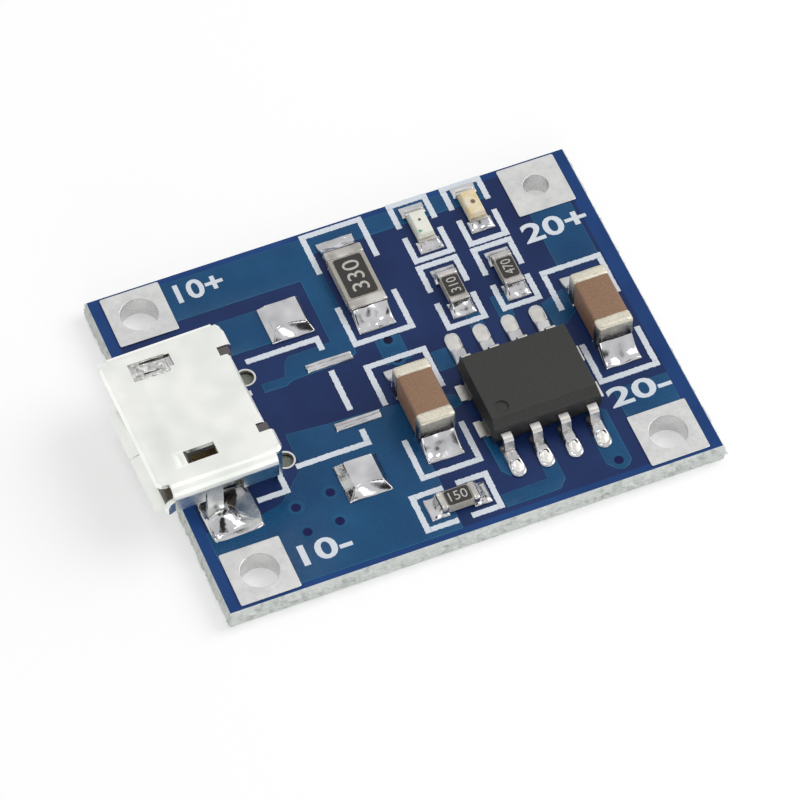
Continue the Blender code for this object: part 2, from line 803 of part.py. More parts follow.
def make_shell():
    bm = shell_sheet()
    window_end = WINDOW_START + WINDOW_LENGTH
    slot = (LEG_START - LEG_SLOT_MARGIN, LEG_START + LEG_LENGTH + LEG_SLOT_TAIL)
    crown, shoulder, keel = shell_side(0)
    notch = (FLAP_WIDTH / 2, FLAP_WIDTH / 2 + NOTCH_WIDTH)
    top = SHELL_HEIGHT - FILM
    floor = SHELL_STANDOFF + FILM
    lip_low = shoulder[0].y
    cut_faces(bm, lambda c: WINDOW_START < c.x < window_end and by_window(c.y, WINDOW_WIDTH) and c.z > top)
    cut_faces(bm, lambda c: slot[0] < c.x < slot[1] and floor < c.z < SIDE_CUT_TOP)
    cut_faces(bm, lambda c: c.x > SHELL_LENGTH - NOTCH_DEPTH and notch[0] < abs(c.y) < notch[1] and c.z > top)
    cut_faces(bm, lambda c: c.x > SHELL_LENGTH - FLAP_SETBACK and abs(c.y) < notch[0] and c.z > top)
    cut_faces(bm, lambda c: c.x > FLOOR_LENGTH and c.z < floor)

    # Dimples where the spring leaves leave the sheet
    dimple = WINDOW_START - DIMPLE_MARGIN - DIMPLE_LENGTH / 2
    for vert in bm.verts:
        if near(vert.co.x, dimple) and by_window(vert.co.y, LEAF_WIDTH + FILM) and vert.co.z > top:
            vert.co.z -= DIMPLE_DEPTH

    # Spring leaves that slope down into the mouth, the near one bent further
    near_leaf = (-1, NEAR_LEAF_LENGTH, NEAR_LEAF_DROP)
    far_leaf = (1, FAR_LEAF_LENGTH, FAR_LEAF_DROP)
    for side, length, fall in (near_leaf, far_leaf):
        leaf = rim_edges(
            bm,
            lambda c: near(c.x, WINDOW_START) and by_window(c.y, LEAF_WIDTH) and c.y * side > 0 and c.z > top,
        )
        for step in range(FLARE_STEPS):
            leaf = extrude(bm, leaf, (length / FLARE_STEPS, 0, -fall * flare_share(step)))

    # Lips round the mouth
    up = Vector((0, 0, 1))
    lip_top = rim_edges(bm, lambda c: near(c.x, 0) and c.z > top and abs(c.y) < TOP_LIP_WIDTH / 2)
    flare_lip(bm, lip_top, up, TOP_LIP_REACH, TOP_LIP_RISE)
    for side in (-1, 1):
        wall = rim_edges(bm, lambda c: near(c.x, 0) and lip_low < c.z < SIDE_CUT_TOP and c.y * side > 0)
        flare_lip(bm, wall, Vector((0, side, 0)), SIDE_LIP_REACH, SIDE_LIP_FLARE)
        half = rim_edges(
            bm,
            lambda c: near(c.x, 0)
            and c.z < floor
            and abs(c.y) < keel[-1].x - FLOOR_LIP_INSET
            and (c.y - SEAM_OFFSET) * side > 0,
        )
        flare_lip(bm, half, -up, FLOOR_LIP_REACH, FLOOR_LIP_DROP, FLOOR_LIP_CORNER)

    # Side legs that stand in the solder
    for side in (-1, 1):
        leg = rim_edges(
            bm,
            lambda c: near(c.z, SIDE_CUT_TOP)
            and LEG_START < c.x < LEG_START + LEG_LENGTH
            and c.y * side > 0,
        )
        extrude(bm, leg, (0, 0, PAD_HEIGHT + FILM - SIDE_CUT_TOP))

    # Rear flap, and the ears that end in the rear legs
    flap_fold = SHELL_LENGTH - FLAP_SETBACK
    flap = rim_edges(bm, lambda c: near(c.x, flap_fold) and c.z > top and abs(c.y) < notch[0])
    bend_down(bm, flap, 0, FLAP_END_HEIGHT, 1, 0)
    ear_edge = (crown[0].x + crown[1].x) / 2 + FILM
    for side in (-1, 1):
        ear = rim_edges(
            bm,
            lambda c: near(c.x, SHELL_LENGTH) and notch[1] < c.y * side < ear_edge and c.z > crown[1].y,
        )
        ear = bend_down(bm, ear, EAR_REACH, EAR_END_HEIGHT, EAR_TAPER, notch[1])
        inner = notch[1] + (REAR_LEG_INNER - notch[1]) * EAR_TAPER
        foot = [edge for edge in ear if min(abs(vert.co.y) for vert in edge.verts) > inner - FILM]
        extrude(bm, foot, (0, 0, FILM - EAR_END_HEIGHT))

    bmesh.ops.recalc_face_normals(bm, faces=bm.faces)
    bm.normal_update()
    roof_faces = [face for face in bm.faces if face.calc_center_median().z > top]
    roof = max(roof_faces, key=lambda face: abs(face.normal.z) * face.calc_area())
    if roof.normal.z < 0:
        bmesh.ops.reverse_faces(bm, faces=bm.faces)
    shell = add_piece("usb_shell", mesh_of("usb_shell", bm), "shell_steel", socket)
    modifier = shell.modifiers.new("Sheet", "SOLIDIFY")
    modifier.thickness = SHEET
    modifier.offset = -1
    modifier.use_even_offset = True


def contact_places():
    first = -(CONTACT_COUNT - 1) / 2 * CONTACT_PITCH
    return [first + number * CONTACT_PITCH for number in range(CONTACT_COUNT)]


def make_insulator():
    crown, shoulder, keel = shell_side(SHEET + INSULATOR_CLEARANCE)
    half = crown + shoulder + keel
    outline = half + [Vector((-point.x, point.y)) for point in reversed(half)]
    rings = [[Vector((x, point.x, point.y)) for point in outline] for x in (BLOCK_END, BLOCK_START)]
    block = scratch("usb_insulator", loft(rings))

    # The tongue, with a rounded tip
    tongue = box(
        (TONGUE_START, (BLOCK_START + BLOCK_END) / 2),
        (-TONGUE_WIDTH / 2, TONGUE_WIDTH / 2),
        (TONGUE_LOW, TONGUE_LOW + TONGUE_THICKNESS),
    )
    tip = [edge for edge in tongue.edges if all(near(vert.co.x, TONGUE_START) for vert in edge.verts)]
    bmesh.ops.bevel(tongue, geom=tip, offset=TONGUE_THICKNESS / 5, segments=2, affect="EDGES", profile=0.5)

    # Lugs that fill the notches of the shell
    lugs = []
    lug_end = SHELL_LENGTH + EAR_REACH + REAR_BEND - LUG_SETBACK
    for side in (-1, 1):
        inner = FLAP_WIDTH / 2 + INSULATOR_CLEARANCE
        outer = FLAP_WIDTH / 2 + NOTCH_WIDTH - INSULATOR_CLEARANCE
        lug = box(
            (SHELL_LENGTH - NOTCH_DEPTH + INSULATOR_CLEARANCE, lug_end),
            sorted((side * inner, side * outer)),
            (FLAP_END_HEIGHT, SHELL_HEIGHT - LUG_STEP),
        )
        lugs.append(scratch("lug", lug))
    combine(block, "UNION", [scratch("tongue", tongue)] + lugs)

    # Grooves that the contacts lie in, and their way down through the block
    path = contact_path(SHELL_STANDOFF)
    path[0].x -= FILM
    grooves = []
    for y in contact_places():
        groove = ribbon("groove", path, CONTACT_WIDTH + 2 * FILM, CONTACT_THICKNESS + 2 * FILM)
        groove.location.y = y
        grooves.append(groove)
    combine(block, "DIFFERENCE", grooves)
    add_piece("usb_insulator", taken(block), "black_plastic", socket)


def contact_path(end_height, *beyond):
    # Along the tongue, then down through the block
    run = CONTACT_TOP - CONTACT_THICKNESS / 2
    corners = [
        Vector((TONGUE_START + CONTACT_FRONT_MARGIN, run)),
        Vector((CONTACT_DROP_PLACE, run)),
        Vector((CONTACT_DROP_PLACE, end_height)),
        *beyond,
    ]
    return bent_path(corners, CONTACT_BEND)


def make_contacts():
    foot = PAD_HEIGHT + CONTACT_THICKNESS / 2
    toe = CONTACT_DROP_PLACE + TAIL_REACH
    path = contact_path(foot, Vector((toe, foot)))
    contact = ribbon("usb_contact", path, CONTACT_WIDTH, CONTACT_THICKNESS)
    pad_end = toe + TAIL_PAD_MARGIN
    pad_range = (pad_end - TAIL_PAD_LENGTH, pad_end)
    levels = (0, PAD_HEIGHT + CONTACT_THICKNESS / 3)
    pad = [rounded_rectangle(pad_range, TAIL_PAD_WIDTH / 2, PAD_CORNER, level) for level in levels]
    for point in pad[0] + pad[1]:
        point.z += FILM
    combine(contact, "UNION", [scratch("contact_pad", loft(pad))])
    mesh = taken(contact)
    for number, y in enumerate(contact_places(), 1):
        add_piece(f"usb_contact_{number}", mesh, "contact_gold", socket, (0, y, 0))


def make_leg_solder(name, side):
    # A pad with a mound of solder round the side leg
    front = LEG_START - LEG_PAD_MARGIN
    wall = SHELL_WIDTH / 2
    room = TERMINAL_Y - TERMINAL_SIZE / 2 - wall
    inner = FLOOR_WIDTH / 2 - LEG_PAD_UNDER
    outer = wall + room * LEG_PAD_SHARE
    levels = (FILM, PAD_HEIGHT)
    pad_range = (front, front + LEG_PAD_LENGTH)
    pad = [rounded_rectangle(pad_range, (outer - inner) / 2, PAD_CORNER, level) for level in levels]
    joint = scratch(name, loft(pad))
    joint.location.y = side * (inner + outer) / 2

    # The mound reaches from under the shell to short of the pad's outer edge
    mound_low = wall - MOUND_UNDER
    mound_high = wall + room * MOUND_SHARE
    profile = [(0, PAD_HEIGHT + MOUND_HEIGHT)]
    for share in (0.25, 0.45, 0.65, 0.85):
        fall = (1 - share**MOUND_SHOULDER) ** MOUND_HOLLOW
        profile.append((share / 2, PAD_HEIGHT + MOUND_HEIGHT * fall))
    profile += [(0.5, PAD_HEIGHT / 2), (0, PAD_HEIGHT / 2)]
    mound = turned("mound", profile, MOUND_SIDES)
    mound.data.transform(Matrix.Diagonal((MOUND_LENGTH, mound_high - mound_low, 1, 1)))
    mound.location = (front + MOUND_LENGTH / 2, side * (mound_low + mound_high) / 2, 0)
    gap = 2 * FILM
    slot = box(
        (LEG_START - gap, LEG_START + LEG_LENGTH + gap),
        sorted((side * (wall + gap), side * (wall - SHEET - gap))),
        (PAD_HEIGHT, PAD_HEIGHT + 2 * MOUND_HEIGHT),
    )
    combine(joint, "UNION", [mound])
    combine(joint, "DIFFERENCE", [scratch("slot", slot)])
    centre = joint.location.copy()
    add_piece(name, taken(joint), "solder", socket, centre)


# Spare pads


def pillow(size, height):
    # A pad with a cushion of solder whose corners are creased
    bm = bmesh.new()
    bmesh.ops.create_grid(bm, x_segments=PILLOW_CELLS, y_segments=PILLOW_CELLS, size=size / 2)
    for vert in bm.verts:
        u = min(abs(vert.co.x) / (size / 2), 1)
        v = min(abs(vert.co.y) / (size / 2), 1)
        crown = (1 - max(u, v) ** 2) ** PILLOW_ROUND
        vert.co.z = PAD_HEIGHT + height * crown * (1 - PILLOW_CREASE * u * v)
    rim = [edge for edge in bm.edges if edge.is_boundary]
    skirt = extrude(bm, rim, (0, 0, FILM - PAD_HEIGHT))
    bmesh.ops.contextual_create(bm, geom=skirt)
    bmesh.ops.recalc_face_normals(bm, faces=bm.faces)
    return bm


def make_spare_pads():
    mesh = mesh_of("spare_pad", pillow(SPARE_PAD_SIZE, SPARE_PAD_PILLOW))
    for name, side in (("spare_pad_near", -1), ("spare_pad_far", 1)):
        x, y = PLACES["spare_pad"]
        add_piece(name, mesh, "solder", root, (x, side * y, TOP))


def make_spare_bars():
    half_length = SPARE_BAR_LENGTH / 2
    half_width = SPARE_BAR_WIDTH / 2
    shoulder = (PAD_HEIGHT + SPARE_BAR_HEIGHT) / 2
    levels = (
        (0, FILM),
        (0, PAD_HEIGHT),
        (SPARE_BAR_EDGE, shoulder),
        (SPARE_BAR_CROWN, SPARE_BAR_HEIGHT),
    )
    rings = []
    for draw, height in levels:
        ends = (draw - half_length, half_length - draw)
        rings.append(rounded_rectangle(ends, half_width - draw, half_width / 2, height))
    mesh = mesh_of("spare_bar", loft(rings))
    for name, side in (("spare_bar_near", -1), ("spare_bar_far", 1)):
        x, y = PLACES["spare_bar"]
        add_piece(name, mesh, "solder", root, (x, side * y, TOP))


# Charging chip


def make_ic_body():
    low = IC_STANDOFF
    high = IC_STANDOFF + IC_HEIGHT
    middle = (low + high) / 2
    bm = box((-IC_LENGTH / 2, IC_LENGTH / 2), (-IC_WIDTH / 2, IC_WIDTH / 2), (low, high))
    everything = bm.verts[:] + bm.edges[:] + bm.faces[:]
    bmesh.ops.bisect_plane(bm, geom=everything, plane_co=(0, 0, middle), plane_no=(0, 0, 1))
    for vert in bm.verts:
        if abs(vert.co.z - middle) > IC_HEIGHT / 4:
            vert.co.x -= math.copysign(IC_DRAFT, vert.co.x)
            vert.co.y -= math.copysign(IC_DRAFT, vert.co.y)
    ridge = [
        edge for edge in bm.edges if all(vert.co.z > high - FILM and vert.co.y < 0 for vert in edge.verts)
    ]
    bmesh.ops.bevel(bm, geom=ridge, offset=IC_EDGE_BEVEL, segments=1, affect="EDGES", profile=0.5)
    body = add_piece("ic_body", mesh_of("ic_body", bm), "black_plastic", chip)
    deep = IC_DIMPLE_DEPTH
    marker = cylinder(IC_DIMPLE / 2, high - deep, high + deep, HOLE_SIDES)
    corner = Vector((-IC_LENGTH / 2, -IC_WIDTH / 2, 0)) + Vector((*IC_DIMPLE_INSET, 0))
    cutter = add_cutter("ic_dimple", marker, cutters, corner)
    cutter.parent = chip
    modifier = body.modifiers.new("Dimple", "BOOLEAN")
    modifier.operation = "DIFFERENCE"
    modifier.solver = "EXACT"
    modifier.object = cutter


def lead_mesh(pad_reach):
    # A gull-wing lead soldered to a round-ended pad
    exit_height = IC_STANDOFF + IC_HEIGHT / 2
    foot = PAD_HEIGHT + LEAD_THICKNESS / 2
    corners = (
        Vector((FILM, exit_height)),
        Vector((LEAD_SHOULDER, exit_height)),
        Vector((LEAD_SHOULDER + LEAD_SLOPE, foot)),
        Vector((LEAD_REACH, foot)),
    )
    lead = ribbon("ic_lead", bent_path(corners, LEAD_BEND), LEAD_WIDTH, LEAD_THICKNESS)
    tip = LEAD_REACH + pad_reach
    heel = tip - LEAD_PAD_LENGTH
    half = LEAD_PAD_WIDTH / 2
    rings = [rounded_rectangle((heel, tip), half, half, height) for height in (FILM, PAD_HEIGHT)]
    crest = LEAD_SOLDER[-1][1]
    for draw, rise in LEAD_SOLDER:
        ends = (heel + draw, tip - draw - LEAD_SOLDER_HOLLOW * (rise / crest) ** 2)
        rings.append(rounded_rectangle(ends, half - draw, half, PAD_HEIGHT + rise))
    combine(lead, "UNION", [scratch("lead_solder", loft(rings))])
    return taken(lead)


def make_leads():
    # Four leads on each side, with the body set off the middle of their pads
    per_side = LEAD_COUNT // 2
    for first, side in ((1, -1), (1 + per_side, 1)):
        mesh = lead_mesh(LEAD_PAD_TIP - side * CHIP_SHIFT)
        for number in range(per_side):
            x = (number - (per_side - 1) / 2) * LEAD_PITCH * -side
            place = (x, side * IC_WIDTH / 2, 0)
            add_piece(f"ic_lead_{first + number}", mesh, "lead_tin", chip, place, 90 * side)


def make_slug():
    # The plate under the chip, with ears that come out past its short ends
    low = SLUG_CLEARANCE
    high = IC_STANDOFF - FILM
    slug = scratch(
        "ic_heat_slug",
        box((-SLUG_LENGTH / 2, SLUG_LENGTH / 2), (-SLUG_WIDTH / 2, SLUG_WIDTH / 2), (low, high)),
    )
    wall = IC_LENGTH / 2 + 2 * FILM
    ears = []
    for x_side in (-1, 1):
        for y_side in (-1, 1):
            y = y_side * EAR_SPACING / 2
            y_range = (y - EAR_LENGTH / 2, y + EAR_LENGTH / 2)
            tie = sorted((x_side * SLUG_LENGTH / 4, x_side * (wall + EAR_OVERHANG)))
            block = sorted((x_side * wall, x_side * (wall + EAR_OVERHANG)))
            ears.append(scratch("tie", box(tie, y_range, (low, high))))
            ears.append(scratch("ear", box(block, y_range, (low, EAR_HEIGHT))))
    combine(slug, "UNION", ears)
    add_piece("ic_heat_slug", taken(slug), "lead_tin", chip)


# Two-ended parts


def end_mesh(name, size, band, pad, climb, wrap, edge):
    # One soldered end of a part that lies along X: pad, concave solder fillet and metal cap
    length, width, height = size
    span, pad_width = pad
    start = length / 2 - band
    face = length / 2 + FILM + CAP_WALL
    rings = [rounded_rectangle((start, span / 2), pad_width / 2, PAD_CORNER, z) for z in (FILM, PAD_HEIGHT)]
    crest = face - CAP_WALL / 2
    top_half = width / 2 * FILLET_NARROWING
    for step in range(1, FILLET_STEPS + 1):
        share = step / FILLET_STEPS
        fall = 1 - math.sqrt(share)
        out = crest + (span / 2 - crest) * fall
        half = top_half + (pad_width / 2 - top_half) * fall
        rings.append(rounded_rectangle((start, out), half, PAD_CORNER, PAD_HEIGHT + climb * share))
    made = scratch(name, loft(rings))
    cap_half = width / 2 + wrap
    cap_top = CORE_LOW + height + FILM + CAP_WALL
    cap = box((start, face), (-cap_half, cap_half), (PAD_HEIGHT / 2, cap_top))
    outer = [line for line in cap.edges if all(vert.co.x > start + FILM for vert in line.verts)]
    outer += [
        line
        for line in cap.edges
        if wrap and all(vert.co.z > CORE_LOW for vert in line.verts) and line not in outer
    ]
    bmesh.ops.bevel(cap, geom=outer, offset=edge, segments=2, affect="EDGES", profile=0.5)
    core = box(
        (-length / 2, length / 2 + FILM),
        (-width / 2 - FILM, width / 2 + FILM),
        (CORE_LOW - FILM, CORE_LOW + height + FILM),
    )
    combine(made, "UNION", [scratch("cap", cap)])
    combine(made, "DIFFERENCE", [scratch("core", core)])
    return taken(made)


def add_ends(name, mesh, slot, group):
    add_piece(name + "_end_1", mesh, slot, group)
    add_piece(name + "_end_2", mesh, slot, group, turn=180)


def core_mesh(name, size, edge=0.0):
    length, width, height = size
    bm = box((-length / 2, length / 2), (-width / 2, width / 2), (CORE_LOW, CORE_LOW + height))
    if edge:
        bmesh.ops.bevel(bm, geom=bm.edges[:], offset=edge, segments=1, affect="EDGES", profile=0.5)
    return mesh_of(name, bm)


def coat_mesh(name, length, width, low):
    high = low + COAT_HEIGHT
    half = width / 2
    draw = COAT_HEIGHT / 2
    rings = [
        rounded_rectangle((-length / 2, length / 2), half, PAD_CORNER, low),
        rounded_rectangle((-length / 2, length / 2), half, PAD_CORNER, low + draw),
        rounded_rectangle((draw - length / 2, length / 2 - draw), half - draw, PAD_CORNER, high),
    ]
    return mesh_of(name, loft(rings))


def make_resistor_parts(names_and_turns, kind, size, band, pad, climb, coat):
    ends = end_mesh(kind + "_end", size, band, pad, climb, 0, CAP_WALL / 2)
    core = core_mesh(kind + "_core", size)
    cover = coat_mesh(kind + "_coat", *coat, CORE_LOW + size[2] + FILM)
    for name, turn in names_and_turns.items():
        group = add_group(name, root, (*PLACES[name], TOP), turn)
        add_piece(name + "_core", core, "white_ceramic", group)
        add_piece(name + "_coat", cover, "dark_coat", group)
        add_ends(name, ends, "solder", group)


def make_resistors():
    make_resistor_parts(
        {"sense_resistor": 90},
        "sense",
        (SENSE_LENGTH, SENSE_WIDTH, SENSE_HEIGHT),
        SENSE_BAND,
        (SENSE_PAD_SPAN, SENSE_PAD_WIDTH),
        SENSE_CLIMB,
        (SENSE_COAT_LENGTH, SENSE_COAT_WIDTH),
    )
    make_resistor_parts(
        {"led_resistor_a": 90, "led_resistor_b": 90, "program_resistor": 0},
        "resistor",
        (RESISTOR_LENGTH, RESISTOR_WIDTH, RESISTOR_HEIGHT),
        RESISTOR_BAND,
        (RESISTOR_PAD_SPAN, RESISTOR_PAD_WIDTH),
        RESISTOR_CLIMB,
        (RESISTOR_COAT_LENGTH, RESISTOR_COAT_WIDTH),
    )


def make_capacitors():
    size = (CAPACITOR_LENGTH, CAPACITOR_WIDTH, CAPACITOR_HEIGHT)
    pad = (CAPACITOR_PAD_SPAN, CAPACITOR_PAD_WIDTH)
    wrap = FILM + CAP_WALL
    ends = end_mesh("capacitor_end", size, CAPACITOR_BAND, pad, CAPACITOR_CLIMB, wrap, CAPACITOR_EDGE / 2)
    core = core_mesh("capacitor_core", size, CAPACITOR_EDGE)
    for name in ("input_capacitor", "output_capacitor"):
        group = add_group(name, root, (*PLACES[name], TOP), 90)
        add_piece(name + "_core", core, "tan_ceramic", group)
        add_ends(name, ends, "solder", group)


def make_lights():
    size = (LED_LENGTH, LED_WIDTH, LED_BASE_HEIGHT)
    ends = end_mesh("led_end", size, LED_BAND, (LED_PAD_SPAN, LED_PAD_WIDTH), LED_CLIMB, 0, CAP_WALL / 2)
    base = core_mesh("led_base", size)
    low = CORE_LOW + LED_BASE_HEIGHT + FILM
    half_length = LENS_LENGTH / 2
    rings = []
    high = low + LENS_HEIGHT
    levels = ((0, low), (LENS_DRAFT, high - LENS_ROUND), (LENS_DRAFT + LENS_ROUND, high))
    for draw, height in levels:
        ends_x = (draw - half_length, half_length - draw)
        rings.append(rounded_rectangle(ends_x, LENS_WIDTH / 2 - draw, LENS_CORNER, height))
    for name, slot in (("charge_led", "clear_lens"), ("standby_led", "amber_lens")):
        group = add_group(name, root, (*PLACES[name], TOP), 90)
        add_piece(name + "_base", base, "led_base", group)
        add_piece(name + "_lens", mesh_of(name + "_lens", loft(rings)), slot, group)
        add_ends(name, ends, "solder", group)


clear_scene()
scene_root = bpy.context.scene.collection
parts = new_collection(OBJECT_NAME, scene_root)
cutters = new_collection("cutters", scene_root)
board_cutters = new_collection("board_cutters", cutters)
helpers = new_collection("helpers", cutters)
root = add_group(OBJECT_NAME, None, (0, 0, 0))
socket_place = (-BOARD_LENGTH / 2 - SHELL_OVERHANG, SOCKET_SHIFT, TOP)
socket = add_group("usb_socket", root, socket_place, SOCKET_TURN)
PLACES = layout()
chip = add_group("ic", root, (*PLACES["ic"], TOP))

make_board()
make_terminal("terminal_in_plus", -1, 1, WIRE_BORE)
make_terminal("terminal_in_minus", -1, -1, WIRE_BORE)
make_terminal("terminal_bat_plus", 1, 1, CELL_BORE)
make_terminal("terminal_bat_minus", 1, -1, WIRE_BORE)
make_hole_ring("hole_ring_near", -1)
make_hole_ring("hole_ring_far", 1)
for number, (x, y) in enumerate(via_places(), 1):
    cut_board_hole(f"via_{number}", VIA_BORE / 2, (x, y, 0), SMALL_HOLE_SIDES)
make_shell()
make_insulator()
make_contacts()
make_leg_solder("usb_solder_near", -1)
make_leg_solder("usb_solder_far", 1)
make_spare_pads()
make_spare_bars()
make_ic_body()
make_leads()
make_slug()
make_resistors()
make_capacitors()
make_lights()
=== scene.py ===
import math

import bmesh
import bpy
from mathutils import Matrix, Vector, noise


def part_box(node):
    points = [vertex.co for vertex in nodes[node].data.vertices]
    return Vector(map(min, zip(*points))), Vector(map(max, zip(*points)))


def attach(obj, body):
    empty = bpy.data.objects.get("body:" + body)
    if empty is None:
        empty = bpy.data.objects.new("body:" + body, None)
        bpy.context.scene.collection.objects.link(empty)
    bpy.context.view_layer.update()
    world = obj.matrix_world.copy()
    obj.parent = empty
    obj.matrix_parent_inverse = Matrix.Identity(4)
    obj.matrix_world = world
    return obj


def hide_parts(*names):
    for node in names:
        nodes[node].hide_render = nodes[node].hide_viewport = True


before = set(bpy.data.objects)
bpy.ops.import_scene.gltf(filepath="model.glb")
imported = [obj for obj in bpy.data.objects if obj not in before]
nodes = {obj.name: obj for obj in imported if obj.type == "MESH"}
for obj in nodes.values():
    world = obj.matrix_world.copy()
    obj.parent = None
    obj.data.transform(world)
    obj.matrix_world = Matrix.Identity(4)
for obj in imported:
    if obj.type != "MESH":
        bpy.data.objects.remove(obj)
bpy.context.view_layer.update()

mm = 0.001

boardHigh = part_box("pcb_board")[1]
boardTop = boardHigh.z
print("frame loaded:", len(nodes), "nodes")


# Nodes and materials

def colour(red, green, blue):
    # a display colour from 0 to 255 as linear light
    shares = [value / 255 for value in (red, green, blue)]
    return (*[s / 12.92 if s < 0.04045 else ((s + 0.055) / 1.055) ** 2.4 for s in shares], 1.0)


def connect(tree, value, socket):
    if isinstance(value, bpy.types.NodeSocket):
        tree.links.new(value, socket)
    else:
        socket.default_value = value


def addNode(tree, kind, inputs=None, **settings):
    node = tree.nodes.new(kind)
    for name, value in settings.items():
        setattr(node, name, value)
    for name, value in (inputs or {}).items():
        connect(tree, value, node.inputs[name])
    return node


def calculate(tree, operation, *values, clamp=False):
    node = addNode(tree, "ShaderNodeMath", dict(enumerate(values)), operation=operation, use_clamp=clamp)
    return node.outputs[0]


def remap(tree, value, fromSpan=(0.0, 1.0), toSpan=(0.0, 1.0), ease="LINEAR"):
    node = addNode(tree, "ShaderNodeMapRange", {"Value": value}, interpolation_type=ease)
    for label, limit in zip(("From Min", "From Max", "To Min", "To Max"), (*fromSpan, *toSpan)):
        connect(tree, limit, node.inputs[label])
    return node.outputs["Result"]


def newGroup(name, inputs, outputs):
    # its inputs are numbers, or vectors where three values are given
    group = bpy.data.node_groups.new(name, "ShaderNodeTree")
    for label, value in inputs.items():
        kind = "NodeSocketVector" if isinstance(value, tuple) else "NodeSocketFloat"
        socket = group.interface.new_socket(name=label, in_out="INPUT", socket_type=kind)
        socket.default_value = value
    for label in outputs:
        group.interface.new_socket(name=label, in_out="OUTPUT", socket_type="NodeSocketFloat")
    entry = addNode(group, "NodeGroupInput")
    leave = addNode(group, "NodeGroupOutput")
    return group, entry.outputs, leave.inputs


def boardCoordinates(tree):
    # Object coordinates in millimetres
    place = addNode(tree, "ShaderNodeTexCoord")
    scaled = addNode(tree, "ShaderNodeMapping", {"Vector": place.outputs["Object"]})
    scaled.inputs["Scale"].default_value = (1000, 1000, 1000)
    return scaled.outputs["Vector"]


def boardAxes(tree):
    return addNode(tree, "ShaderNodeSeparateXYZ", {"Vector": boardCoordinates(tree)}).outputs


grainSpan = (0.3, 0.7)        # the middle of the noise, stretched to the whole range


def makeGrainGroup():
    # uneven value and height that many finishes share
    inputs = {"Per mm": 4.0, "Detail": 3.0, "Low": 0.0, "High": 1.0, "Stretch": (1.0, 1.0, 1.0)}
    group, given, result = newGroup("fineGrain", inputs, ["Value", "Height"])
    place = boardCoordinates(group)
    pulled = addNode(group, "ShaderNodeVectorMath", {0: place, 1: given["Stretch"]}, operation="MULTIPLY")
    values = {"Vector": pulled.outputs[0], "Scale": given["Per mm"], "Detail": given["Detail"]}
    grain = addNode(group, "ShaderNodeTexNoise", values)
    spread = remap(group, grain.outputs["Fac"], grainSpan, (given["Low"], given["High"]))
    group.links.new(spread, result["Value"])
    group.links.new(grain.outputs["Fac"], result["Height"])
    return group


def makeBandGroup():
    # 1 where a coordinate lies between two limits, with soft ends
    inputs = {"Value": 0.0, "From": 0.0, "To": 1.0, "Softness": 0.02}
    group, given, result = newGroup("softBand", inputs, ["Mask"])
    sides = []
    for limit, sign in (("From", 1.0), ("To", -1.0)):
        reach = calculate(group, "SUBTRACT", given["Value"], given[limit])
        scaled = calculate(group, "DIVIDE", reach, given["Softness"])
        sides.append(calculate(group, "MULTIPLY_ADD", scaled, sign, 0.5, clamp=True))
    group.links.new(calculate(group, "MULTIPLY", *sides), result["Mask"])
    return group


fineGrain = makeGrainGroup()
softBand = makeBandGroup()


def grainIn(tree, perMm, low=0.0, high=1.0, detail=3.0, stretch=(1.0, 1.0, 1.0)):
    values = {"Per mm": perMm, "Low": low, "High": high, "Detail": detail, "Stretch": stretch}
    return addNode(tree, "ShaderNodeGroup", values, node_tree=fineGrain).outputs


def bandIn(tree, value, span, softness):
    values = {"Value": value, "From": span[0], "To": span[1], "Softness": softness}
    return addNode(tree, "ShaderNodeGroup", values, node_tree=softBand).outputs["Mask"]


def mixColour(tree, mask, first, second):
    node = addNode(tree, "ShaderNodeMix", data_type="RGBA", blend_type="MIX")
    for name, value in (("Factor", mask), ("A", first), ("B", second)):
        connect(tree, value, [entry for entry in node.inputs if entry.name == name and entry.enabled][0])
    return [entry for entry in node.outputs if entry.enabled][0]


def mixTones(tree, mask, tones):
    return mixColour(tree, mask, *[colour(*tone) for tone in tones])


def newMaterial(name, **sockets):
    # a material with its principled shader, and the sockets that are the same all over it
    material = bpy.data.materials.new(name)
    material.use_nodes = True
    tree = material.node_tree
    shader = tree.nodes["Principled BSDF"]
    for label, value in sockets.items():
        shader.inputs[label.replace("_", " ").title().replace("Ior", "IOR")].default_value = value
    return material, tree, shader.inputs


def dress(tree, shader, tone, rough, height, bump, relief):
    # colour and roughness, and a relief of a given strength and height in millimetres
    connect(tree, tone, shader["Base Color"])
    connect(tree, rough, shader["Roughness"])
    values = {"Height": height, "Strength": bump, "Distance": relief * mm}
    connect(tree, addNode(tree, "ShaderNodeBump", values).outputs["Normal"], shader["Normal"])


metalGrain = {"broader": 4, "broadDetail": 2.0, "fineDetail": 4.0}
plainGrain = {"broader": 2, "broadDetail": 3.0, "fineDetail": 5.0}


def metalFinish(name, light, dark, roughness, perMm, bump, relief):
    # plated or soldered metal: uneven colour and roughness, with a fine relief
    material, tree, shader = newMaterial(name, metallic=1.0)
    broad = grainIn(tree, perMm / metalGrain["broader"], detail=metalGrain["broadDetail"])
    fine = grainIn(tree, perMm, *roughness, metalGrain["fineDetail"])
    tone = mixTones(tree, broad["Value"], (dark, light))
    dress(tree, shader, tone, fine["Value"], fine["Height"], bump, relief)
    return material


def plainFinish(name, light, dark, roughness, perMm, bump, relief, **sockets):
    # moulded, fired or printed surface: the same, without metal
    material, tree, shader = newMaterial(name, **sockets)
    fine = grainIn(tree, perMm, detail=plainGrain["fineDetail"])
    rough = grainIn(tree, perMm / plainGrain["broader"], *roughness, plainGrain["broadDetail"])
    tone = mixTones(tree, fine["Value"], (dark, light))
    dress(tree, shader, tone, rough["Value"], fine["Height"], bump, relief)
    return material


